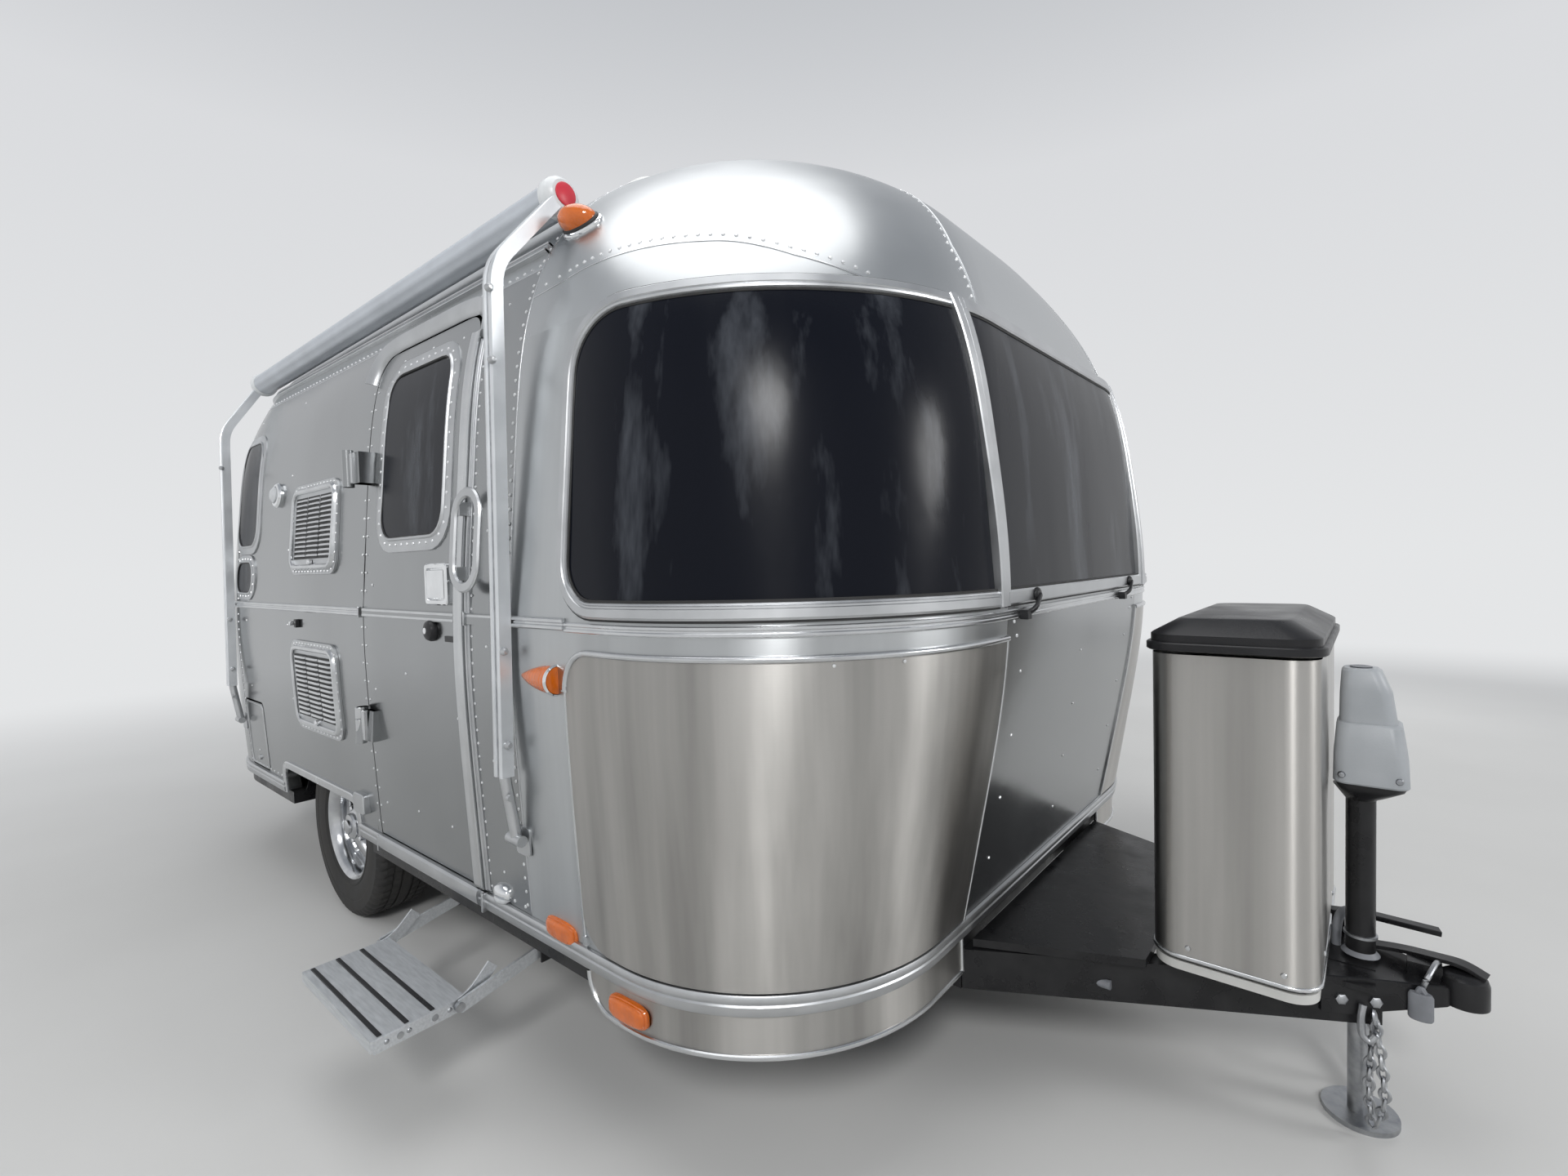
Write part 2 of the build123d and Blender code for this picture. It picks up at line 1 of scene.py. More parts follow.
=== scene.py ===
"""Looks of a riveted aluminium travel caravan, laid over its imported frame.

Shapes are worked out in ground coordinates, metres: x forward from the front
of the body's belt, y to the street side, z up from the ground. ORIGIN is where
the frame's own origin, the centre of the coupler's ball socket, lies in them.
"""
import json
from math import cos, radians, sin

import bmesh
import bpy
import numpy as np
from bpy.props import FloatProperty, FloatVectorProperty, IntProperty, PointerProperty
from mathutils import Matrix, Vector


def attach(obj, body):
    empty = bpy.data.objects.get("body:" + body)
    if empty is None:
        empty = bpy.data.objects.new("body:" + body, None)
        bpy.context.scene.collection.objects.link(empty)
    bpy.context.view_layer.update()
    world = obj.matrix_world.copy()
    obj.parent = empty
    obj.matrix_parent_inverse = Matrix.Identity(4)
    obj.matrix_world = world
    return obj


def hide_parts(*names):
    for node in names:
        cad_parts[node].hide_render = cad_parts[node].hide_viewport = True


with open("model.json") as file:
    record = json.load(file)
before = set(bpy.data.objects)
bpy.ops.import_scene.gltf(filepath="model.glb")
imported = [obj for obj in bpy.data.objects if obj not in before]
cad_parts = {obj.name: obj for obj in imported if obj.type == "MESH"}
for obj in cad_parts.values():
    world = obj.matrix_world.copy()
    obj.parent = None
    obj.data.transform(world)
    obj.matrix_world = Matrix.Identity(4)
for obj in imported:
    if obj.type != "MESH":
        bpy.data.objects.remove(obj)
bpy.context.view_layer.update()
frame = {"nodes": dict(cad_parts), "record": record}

bl_info = {
    "name": "Travel caravan",
    "version": (1, 0, 0),
    "blender": (4, 5, 0),
    "location": "3D View > Sidebar > Caravan",
    "description": "Builds the visible surfaces, trims and rivets of a travel caravan",
    "category": "Object",
}

ORIGIN = np.array([0.8, 0.0, 0.37])
BODY_LENGTH = 4.05

# Rows of the body: height, half width, how far the front and the rear stand
# back from the belt, plan radius of the front and rear corners.
BODY_ROWS = (
    (0.430, 1.190, 0.135, 0.090, 0.500, 0.500),
    (0.800, 1.211, 0.060, 0.040, 0.560, 0.540),
    (1.230, 1.220, 0.000, 0.000, 0.620, 0.600),
    (1.620, 1.190, 0.026, 0.020, 0.660, 0.620),
    (1.950, 1.148, 0.086, 0.070, 0.700, 0.650),
    (2.205, 1.048, 0.208, 0.160, 0.755, 0.670),
    (2.400, 0.878, 0.371, 0.290, 0.712, 0.620),
    (2.532, 0.677, 0.583, 0.470, 0.522, 0.480),
    (2.614, 0.428, 0.945, 0.730, 0.335, 0.340),
    (2.654, 0.184, 1.245, 1.010, 0.118, 0.150),
)

# The lofted skin of the frame swells and hollows between these two heights
PLATE_LOW = 0.430
PLATE_HIGH = 1.280

BELT_Z = 1.230
FRONT_SEAM = -1.000
REAR_SEAM = -3.450
ROOF_SEAM = 2.130
WINDOW_TOP = 1.935
WINDOW_BOTTOM = 1.270
WRAP_REAR = -0.760
MULLION_Y = 0.600
GUARD_EDGE_Y = 0.560
DOOR_REAR = -1.930
DOOR_FRONT = -1.253
ARCH_REAR = -2.950
ARCH_FRONT = -1.975
ARCH_EDGE = -2.115
ARCH_TOP = 0.560
VENT_REAR = -2.670
VENT_FRONT = -2.175
WHEEL_X = -2.490
WHEEL_R = 0.352
TYRE_OUTER_Y = 1.132
TYRE_WIDTH = 0.215
LATCH_REAR = -1.4475
LATCH_FRONT = -1.3145
STEP_REAR = -1.575
STEP_FRONT = -1.085
JACK_X = 0.622
HEAD_X = 0.640
# Hose behind the jack: the listed points of its route
HOSE_ROUTE = ((0.575, 0.030, 0.383), (0.575, 0.034, 0.430), (0.585, 0.045, 0.466), (0.604, 0.066, 0.466),
              (0.612, 0.085, 0.425), (0.606, 0.094, 0.383))
# Radius and height of the rivets on the door and the vents
SMALL_RIVET = (0.0045, 0.0026)

# Camera, solved from the photograph: place, heading, tilt, roll, lens
CAMERA_AT = (0.6460, -2.1329, 1.3586)
CAMERA_TURN = (0.8762, -0.0368, -0.0270)
CAMERA_FOCUS_PX = 869.4


def unit(v):
    """Vectors scaled to length one."""
    return v / np.maximum(np.linalg.norm(v, axis=-1, keepdims=True), 1e-12)


def natural_spline(knots, values, at):
    """Cubic spline through values at knots, second derivative 0 at both ends."""
    h = np.diff(knots)
    n = len(knots)
    a = np.eye(n)
    b = np.zeros_like(values)
    for i in range(1, n - 1):
        a[i, i - 1:i + 2] = h[i - 1], 2 * (h[i - 1] + h[i]), h[i]
        b[i] = 6 * ((values[i + 1] - values[i]) / h[i] - (values[i] - values[i - 1]) / h[i - 1])
    m = np.linalg.solve(a, b)
    i = np.clip(np.searchsorted(knots, at) - 1, 0, n - 2)
    u = (at - knots[i])[:, None]
    w = (knots[i + 1] - at)[:, None]
    k = h[i][:, None]
    return ((m[i] * w**3 + m[i + 1] * u**3) / (6 * k) + (values[i] / k - m[i] * k / 6) * w
            + (values[i + 1] / k - m[i + 1] * k / 6) * u)


ROWS = np.array(BODY_ROWS)
ROW_AT = np.r_[0, np.cumsum(np.linalg.norm(np.diff(ROWS[:, :3], axis=0), axis=1))]
SKIN = natural_spline(ROW_AT, ROWS, np.linspace(0, ROW_AT[-1], 900))


def skin_row(z):
    """Half width, front, rear and the two corner radii of the body at height z."""
    return [np.interp(z, SKIN[:, 0], SKIN[:, k]) for k in range(1, 6)]


def read(items, key, kind=float):
    """A value of three parts of each item of a mesh, as rows."""
    values = np.empty(len(items) * 3, kind)
    items.foreach_get(key, values)
    return values.reshape(-1, 3)


def outer_points(node, facing, least):
    """Points of a node's triangles whose normal dot facing is above least, between the plates' heights."""
    mesh = frame["nodes"][node].data
    out = read(mesh.polygons, "normal") @ unit(np.array(facing, float)) > least
    p = read(mesh.vertices, "co")[np.unique(read(mesh.polygons, "vertices", np.int32)[out])] + ORIGIN
    return p[(p[:, 2] > PLATE_LOW - 1e-4) & (p[:, 2] < PLATE_HIGH + 1e-4)]


def height_fit(z, values, degree):
    """Least squares polynomial of values over the square root of the height above the plate's foot."""
    top = np.sqrt(PLATE_HIGH - PLATE_LOW)
    fit = np.polynomial.Chebyshev.fit(np.sqrt(np.maximum(z - PLATE_LOW, 0)), values, degree, domain=(0, top))
    return lambda at: fit(np.sqrt(np.maximum(at - PLATE_LOW, 0)))


def frame_rows():
    """How half width, front, rear and the two corner radii of the frame's own plates go with height.

    With a and b the depths of a corner's point behind the end and inside the wall, r = a + b + sqrt(2 a b).
    """
    p = outer_points("street_wall", (0, 1, 0), 0.7)
    half = height_fit(p[:, 2], p[:, 1], 12)
    fits = [half]
    for node, end, start in (("front_panel", 1, 0), ("rear_panel", -1, -BODY_LENGTH)):
        p = outer_points(node, (end, 0, 0), 0.2)
        fits.append(height_fit(p[:, 2], end * (start - p[:, 0]), 12))
    for node, end, start, face in (("front_corner_street", 1, 0, fits[1]),
                                   ("rear_corner_street", -1, -BODY_LENGTH, fits[2])):
        p = outer_points(node, (end, 1, 0), 0.3)
        a = end * (start - p[:, 0]) - face(p[:, 2])
        b = half(p[:, 2]) - p[:, 1]
        arc = (a > 0.3 * b) & (b > 0.3 * a)
        fits.append(height_fit(p[arc, 2], (a + b + np.sqrt(np.maximum(2 * a * b, 0)))[arc], 10))
    return fits


FRAME_ROWS = frame_rows()


def straight_skin(p):
    """Points moved from the frame's rippled skin to the even one.

    On a side they move across, on an end along, and round a corner out from a pole inside it, each by the
    difference of the two rows at their height; above the belt and below the rail nothing moves.
    """
    z = p[:, 2]
    level = np.clip(z, PLATE_LOW, PLATE_HIGH)
    old = np.array([fit(level) for fit in FRAME_ROWS])
    fade = np.clip((PLATE_HIGH - z) / 0.04, 0, 1) * (z > PLATE_LOW)
    new = old + fade * (np.array(skin_row(level)) - old)
    rear = p[:, 0] < -BODY_LENGTH / 2
    along = np.where(rear, -BODY_LENGTH - p[:, 0], p[:, 0])
    across = np.abs(p[:, 1])
    pole = np.where(rear, -0.62, -0.78), np.full_like(z, 0.545)
    d = np.stack([np.maximum(along - pole[0], 0), np.maximum(across - pole[1], 0)])
    far = np.maximum(np.hypot(*d), 1e-9)
    d = d / far

    def reach(row):
        """Distance from the pole to the row's outline along d."""
        half, front, back, fr, rr = row
        end, r = np.where(rear, back, front), np.where(rear, rr, fr)
        m = np.stack([-end - r - pole[0], half - r - pole[1]])
        b = (d * m).sum(0)
        arc = b + np.sqrt(np.maximum(b**2 - (m**2).sum(0) + r**2, 0))
        side = (half - pole[1]) / np.maximum(d[1], 1e-9)
        face = (-end - pole[0]) / np.maximum(d[0], 1e-9)
        return np.where(side * d[0] < m[0], side, np.where(face * d[1] < m[1], face, arc))

    move = d * (reach(new) - reach(old))
    along, across = along + move[0], across + move[1]
    return np.stack([np.where(rear, -BODY_LENGTH - along, along), np.sign(p[:, 1]) * across, z], -1)


def skin_side(x, z, side=-1):
    """Points and normals on a side wall: y = half - r + sqrt(r^2 - (x - fx)^2) past a corner's start."""
    x, z = np.broadcast_arrays(np.asarray(x, float), np.asarray(z, float))

    def width(x, z):
        """Distance of the wall from the middle plane."""
        half, front, rear, fr, rr = skin_row(z)
        fx = -front - fr
        rx = rear + rr - BODY_LENGTH
        y = np.where(x > fx, half - fr + np.sqrt(np.maximum(fr**2 - (x - fx)**2, 0)), half)
        return np.where(x < rx, half - rr + np.sqrt(np.maximum(rr**2 - (rx - x)**2, 0)), y)

    e = 1e-3
    y = width(x, z)
    normal = np.stack([-(width(x + e, z) - width(x - e, z)) / (2 * e), side * np.ones_like(y),
                       -(width(x, z + e) - width(x, z - e)) / (2 * e)], -1)
    return np.stack([x, side * y, z], -1), unit(normal)


def skin_end(y, z, end=1):
    """Points and normals on the front (end 1) or rear (end -1) of the body, as a function of y and z."""
    y, z = np.broadcast_arrays(np.asarray(y, float), np.asarray(z, float))

    def depth(y, z):
        """Place of the end along x, counted from its own belt."""
        half, front, rear, fr, rr = skin_row(z)
        back, r = (front, fr) if end > 0 else (rear, rr)
        past = np.maximum(np.abs(y) - (half - r), 0)
        return -back - r + np.sqrt(np.maximum(r**2 - past**2, 0))

    e = 1e-3
    x = depth(y, z)
    normal = np.stack([np.ones_like(x), -(depth(y + e, z) - depth(y - e, z)) / (2 * e),
                       -(depth(y, z + e) - depth(y, z - e)) / (2 * e)], -1)
    if end < 0:
        x = -BODY_LENGTH - x
        normal[..., 0] *= -1
    return np.stack([x, y, z], -1), unit(normal)


def skin_round(u, z, side=-1):
    """Points and normals by u along a row from the rear centre (0) to the front centre (5).

    0-1 is the rear face, 1-2 the rear corner, 2-3 the side, 3-4 the front corner, 4-5 the front face.
    """
    u, z = np.broadcast_arrays(np.asarray(u, float), np.asarray(z, float))

    def place(u, z):
        """The point at u on the row at height z."""
        half, front, rear, fr, rr = skin_row(z)
        fx, rx = -front - fr, rear + rr - BODY_LENGTH
        t = u - np.floor(np.minimum(u, 4.9999))
        a = t * np.pi / 2
        k = [u < 1, u < 2, u < 3, u < 4]
        x = np.select(k, [rx - rr, rx - rr * np.cos(a), rx + (fx - rx) * t, fx + fr * np.sin(a)], fx + fr)
        y = np.select(k, [(half - rr) * t, half - rr + rr * np.sin(a), half, half - fr + fr * np.cos(a)],
                      (half - fr) * (1 - t))
        return np.stack([x, side * y, z], -1)

    e = 1e-3
    p = place(u, z)
    du = place(u + e, z) - place(u - e, z)
    dz = place(u, z + e) - place(u, z - e)
    return p, unit(np.cross(du, dz) * -side)


def row_between(z, u0, u1, count, side=-1):
    """Evenly spaced points and normals along the body row at height z between two u values."""
    u = np.linspace(u0, u1, 400)
    p, _ = skin_round(u, z, side)
    s = np.r_[0, np.cumsum(np.linalg.norm(np.diff(p, axis=0), axis=1))]
    u = np.interp(np.linspace(0, s[-1], count), s, u)
    return skin_round(u, z, side)


def u_at_x(x, z):
    """u on the side or front corner where the row at height z passes x."""
    u = np.linspace(2, 4, 600)
    p, _ = skin_round(u, z)
    return float(np.interp(x, p[:, 0], u))


def u_at_y(y, z):
    """u on the front corner or front face where the row at height z passes |y|."""
    u = np.linspace(3, 5, 600)
    p, _ = skin_round(u, z)
    return float(np.interp(-abs(y), p[:, 1], u))


def turns(count):
    """Angles evenly round a full turn."""
    return np.linspace(0, 2 * np.pi, count, endpoint=False)


def level(outline, z):
    """A plan outline laid at the height z."""
    return np.column_stack([outline, np.full(len(outline), z)])


def rounded_rect(a0, a1, b0, b1, r, count=8):
    """Closed outline of a rounded rectangle, anticlockwise, count points a corner."""
    t = np.linspace(0, np.pi / 2, count)
    parts = []
    for k, (a, b) in enumerate(((a1 - r, b1 - r), (a0 + r, b1 - r), (a0 + r, b0 + r), (a1 - r, b0 + r))):
        w = t + k * np.pi / 2
        parts.append(np.stack([a + r * np.cos(w), b + r * np.sin(w)], -1))
    return np.concatenate(parts)


def spread(path, spacing, closed=False):
    """Points every spacing, nearly, along a polyline of any dimension."""
    if closed:
        path = np.vstack([path, path[:1]])
    s = np.r_[0, np.cumsum(np.linalg.norm(np.diff(path, axis=0), axis=1))]
    count = max(int(round(s[-1] / spacing)), 1)
    at = np.linspace(0, s[-1], count + 1)
    at = at[:-1] if closed else at
    return np.stack([np.interp(at, s, path[:, k]) for k in range(path.shape[1])], -1)


def bent(points, radius):
    """A polyline whose inner corners are rounded, each by a quadratic arc."""
    points = np.asarray(points, float)
    out = [points[:1]]
    t = np.linspace(0, 1, 6)[:, None]
    for a, b, c in zip(points[:-2], points[1:-1], points[2:]):
        k = min(radius, np.linalg.norm(b - a) / 2.01, np.linalg.norm(c - b) / 2.01)
        p, q = b + unit(a - b) * k, b + unit(c - b) * k
        out.append((1 - t)**2 * p + 2 * t * (1 - t) * b + t**2 * q)
    return np.concatenate(out + [points[-1:]])


def band(width, height, edge=0.004, under=0.004):
    """Profile of a flat strip with bevelled edges: across, out."""
    w = width / 2
    return np.array([(-w, -under), (-w, height - edge), (-w + edge, height), (w - edge, height),
                     (w, height - edge), (w, -under)])


def half_round(radius, count=7, under=0.003):
    """Profile of a half-round bead: across, out."""
    t = np.linspace(np.pi, 0, count)
    return np.vstack([[(-radius, -under)], np.stack([radius * np.cos(t), radius * np.sin(t)], -1),
                      [(radius, -under)]])


class Piece:
    """Surfaces gathered into one mesh."""

    def __init__(self):
        self.points = []
        self.faces = []
        self.count = 0

    def add(self, points, *faces):
        """Points with faces that number them from 0."""
        points = np.asarray(points, float).reshape(-1, 3)
        self.points.append(points)
        self.faces += [np.asarray(f, int) + self.count for f in faces if len(f)]
        self.count += len(points)

    def grid(self, p, wrap_u=False, wrap_v=False, cap_u=False):
        """A sheet of quads: point (i, j) joins (i + 1, j), (i + 1, j + 1) and (i, j + 1)."""
        m, n = p.shape[:2]
        k = np.arange(m * n).reshape(m, n)
        caps = [k[:1, ::-1], k[-1:]] if cap_u else []
        k = np.vstack([k, k[:1]]) if wrap_u else k
        k = np.hstack([k, k[:, :1]]) if wrap_v else k
        quads = np.stack([k[:-1, :-1], k[1:, :-1], k[1:, 1:], k[:-1, 1:]], -1).reshape(-1, 4)
        self.add(p, quads, *caps)

    def sweep(self, path, normal, profile, closed=False):
        """A profile (across, out) carried along path: path + across * (tangent x normal) + out * normal."""
        path, profile = np.asarray(path, float), np.asarray(profile, float)
        normal = np.broadcast_to(np.asarray(normal, float), path.shape)
        tangent = np.roll(path, -1, 0) - np.roll(path, 1, 0) if closed else np.gradient(path, axis=0)
        across = unit(np.cross(tangent, normal))
        out = unit(np.cross(across, tangent))
        p = path[:, None] + profile[None, :, :1] * across[:, None] + profile[None, :, 1:] * out[:, None]
        self.grid(p, wrap_u=closed, wrap_v=True, cap_u=not closed)

    def tube(self, path, radius, normal=(0, 0, 1), count=12):
        """A round bar along path: a circle of that radius carried along it."""
        t = turns(count)
        self.sweep(path, normal, radius * np.stack([np.cos(t), np.sin(t)], -1))

    def lathe(self, centre, axis, profile, count=32):
        """Profile (radius, height) turned round the axis: centre + h * axis + r * (cos a, sin a)."""
        axis = unit(np.asarray(axis, float))
        e1 = unit(np.cross(axis, (0, 0, 1) if abs(axis[2]) < 0.9 else (1, 0, 0)))
        e2 = np.cross(axis, e1)
        a = turns(count)
        ring = np.cos(a)[:, None] * e1 + np.sin(a)[:, None] * e2
        profile = np.asarray(profile, float)
        p = np.asarray(centre) + profile[:, None, :1] * ring[None] + profile[:, None, 1:] * axis
        self.grid(p, wrap_v=True)

    def stack(self, outlines, closed=True):
        """Outlines of equal length joined in order, capped at both ends."""
        self.grid(np.asarray(outlines, float), wrap_v=closed, cap_u=True)

    def box(self, lo, hi):
        """An upright box between two corners."""
        x0, y0, z0 = lo
        x1, y1, z1 = hi
        ring = [(x0, y0), (x1, y0), (x1, y1), (x0, y1)]
        self.stack([[(x, y, z) for x, y in ring] for z in (z0, z1)])

    def domes(self, p, normal, radius, height, sides=6):
        """Low round heads: rings of radius r, 0.7 r and 0 at heights 0, 0.75 h and h along each normal."""
        p = np.asarray(p, float).reshape(-1, 3)
        normal = unit(np.broadcast_to(np.asarray(normal, float).reshape(-1, 3), p.shape))
        e1 = unit(np.cross(normal, (0.31, 0.12, 0.94)))
        e2 = np.cross(normal, e1)
        a = turns(sides)
        ring = np.cos(a)[None, :, None] * e1[:, None] + np.sin(a)[None, :, None] * e2[:, None]
        low = p[:, None] + radius * ring - 0.001 * normal[:, None]
        mid = p[:, None] + 0.72 * radius * ring + 0.75 * height * normal[:, None]
        top = p[:, None] + height * normal[:, None]
        n = len(p)
        size = 2 * sides + 1
        base = (np.arange(n) * size)[:, None]
        i = np.arange(sides)
        j = (i + 1) % sides
        quads = np.stack([i, j, j + sides, i + sides], -1)
        tris = np.stack([i + sides, j + sides, np.full(sides, 2 * sides)], -1)
        self.add(np.concatenate([low, mid, top], 1), (base[:, :, None] + quads).reshape(-1, 4),
                 (base[:, :, None] + tris).reshape(-1, 3))

    def make(self, name, finish, body="body", slot=None, replaces=(), bevel=0.0, sharp=35, solid=True):
        """The mesh object, riding on a body and standing for the named CAD nodes."""
        points = np.concatenate(self.points) - ORIGIN
        mesh = bpy.data.meshes.new(name)
        mesh.vertices.add(len(points))
        mesh.vertices.foreach_set("co", points.ravel())
        sizes = np.concatenate([np.full(len(f), f.shape[1]) for f in self.faces])
        mesh.loops.add(int(sizes.sum()))
        mesh.loops.foreach_set(
            "vertex_index", np.concatenate([f.ravel() for f in self.faces]).astype(np.int32))
        mesh.polygons.add(len(sizes))
        mesh.polygons.foreach_set("loop_start", np.r_[0, np.cumsum(sizes)[:-1]].astype(np.int32))
        mesh.update(calc_edges=True)
        mesh.validate()
        work = bmesh.new()
        work.from_mesh(mesh)
        bmesh.ops.remove_doubles(work, verts=work.verts, dist=2e-5)
        if solid:
            bmesh.ops.recalc_face_normals(work, faces=work.faces)
        work.to_mesh(mesh)
        work.free()
        mesh.shade_smooth()
        mesh.set_sharp_from_angle(angle=radians(sharp))
        mesh.materials.append(MATERIALS[finish])
        piece = new_object(name, mesh)
        if bevel:
            mod = piece.modifiers.new("Bevel", "BEVEL")
            mod.width = bevel
            mod.segments = 2
            mod.limit_method = "ANGLE"
            mod.angle_limit = radians(40)
        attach(piece, body)
        if replaces:
            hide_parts(*replaces)
        return piece


class Tree:
    """Short hand for a node tree."""

    def __init__(self, tree):
        self.tree = tree

    def node(self, kind, **values):
        """A node with its settings and its constant inputs."""
        n = self.tree.nodes.new(kind)
        for key, value in values.items():
            if key in n.inputs:
                n.inputs[key].default_value = value
            else:
                setattr(n, key, value)
        return n

    def link(self, a, b):
        """Joins an output to an input."""
        self.tree.links.new(a, b)


class Nodes(Tree):
    """Short hand for a material's node tree."""

    def __init__(self, name):
        self.material = bpy.data.materials.new(name)
        self.material.use_nodes = True
        super().__init__(self.material.node_tree)
        self.shader = self.tree.nodes["Principled BSDF"]
        self.coords = self.node("ShaderNodeTexCoord").outputs["Object"]

    def set(self, **values):
        """Constant values on the shader's own sockets."""
        for key, value in values.items():
            self.shader.inputs[key.replace("_", " ")].default_value = value

    def noise(self, scale, stretch=(1, 1, 1), detail=3.0, roughness=0.5):
        """Noise over the object's coordinates, squeezed by stretch."""
        place = self.node("ShaderNodeMapping")
        place.inputs["Scale"].default_value = stretch
        self.link(self.coords, place.inputs["Vector"])
        n = self.node("ShaderNodeTexNoise", Scale=scale, Detail=detail, Roughness=roughness)
        self.link(place.outputs["Vector"], n.inputs["Vector"])
        return n.outputs["Fac"]

    def span(self, source, low, high):
        """Source, from 0.3 to 0.7, spread over low to high."""
        n = self.node("ShaderNodeMapRange")
        n.inputs["From Min"].default_value = 0.3
        n.inputs["From Max"].default_value = 0.7
        n.inputs["To Min"].default_value = low
        n.inputs["To Max"].default_value = high
        self.link(source, n.inputs["Value"])
        return n.outputs["Result"]

    def tint(self, source, low, high, start=0.3, end=0.7):
        """Source mapped to a colour between low and high, fed to the base colour."""
        n = self.node("ShaderNodeValToRGB")
        n.color_ramp.elements[0].position = start
        n.color_ramp.elements[1].position = end
        n.color_ramp.elements[0].color = (*low, 1)
        n.color_ramp.elements[1].color = (*high, 1)
        self.link(source, n.inputs["Fac"])
        self.link(n.outputs["Color"], self.shader.inputs["Base Color"])

    def bump(self, source, strength, distance):
        """Height source as surface relief, on top of any relief already there."""
        n = self.node("ShaderNodeBump", Strength=strength, Distance=distance)
        self.link(source, n.inputs["Height"])
        have = self.shader.inputs["Normal"].links
        if have:
            self.link(have[0].from_socket, n.inputs["Normal"])
        self.link(n.outputs["Normal"], self.shader.inputs["Normal"])


MATERIALS = {}


def new_object(name, data):
    """An object with that mesh, curve, lamp or camera, in the scene."""
    made = bpy.data.objects.new(name, data)
    bpy.context.scene.collection.objects.link(made)
    return made


def metal(name, low, high, rough_low, rough_high, scale=3.0, stretch=(1, 1, 1), wave=0.0, wave_scale=1.5):
    """A metal: mottled colour and roughness, slow waviness. Where stretch draws the mottle out upright, as on
    the stainless and the corner skin, the colour is a painted reflection in upright bands.
    """
    m = Nodes(name)
    m.set(Metallic=1.0)
    mottle = m.noise(scale, stretch, 4.0)
    m.tint(mottle, low, high)
    m.link(m.span(mottle, rough_low, rough_high), m.shader.inputs["Roughness"])
    if wave:
        m.bump(m.noise(wave_scale, (1, 1, 1), 1.5, 0.4), wave, 0.02)
    MATERIALS[name] = m.material
    return m


def brushing(m, amount, lines=900.0, relief=0.12):
    """Rolling or brushing marks that run level: highlights drawn out upright, and fine level scratches."""
    m.set(Anisotropic=amount)
    at = m.node("ShaderNodeNewGeometry")
    level = m.node("ShaderNodeVectorMath", operation="CROSS_PRODUCT")
    level.inputs[0].default_value = (0, 0, 1)
    m.link(at.outputs["True Normal"], level.inputs[1])
    upright = m.node("ShaderNodeVectorMath", operation="CROSS_PRODUCT")
    m.link(at.outputs["True Normal"], upright.inputs[0])
    m.link(level.outputs[0], upright.inputs[1])
    m.link(upright.outputs[0], m.shader.inputs["Tangent"])
    m.bump(m.noise(1.0, (3, 3, lines), 2.0, 0.6), relief, 0.0006)


def coat(name, low, high, rough_low=0.35, rough_high=0.5, scale=6.0, fine=120.0, relief=0.1):
    """A paint, plastic or rubber: mottled colour and roughness with a fine relief."""
    m = Nodes(name)
    mottle = m.noise(scale, (1, 1, 1), 5.0)
    m.tint(mottle, low, high)
    m.link(m.span(mottle, rough_low, rough_high), m.shader.inputs["Roughness"])
    m.bump(m.noise(fine, (1, 1, 1), 3.0), relief, 0.002)
    MATERIALS[name] = m.material
    return m


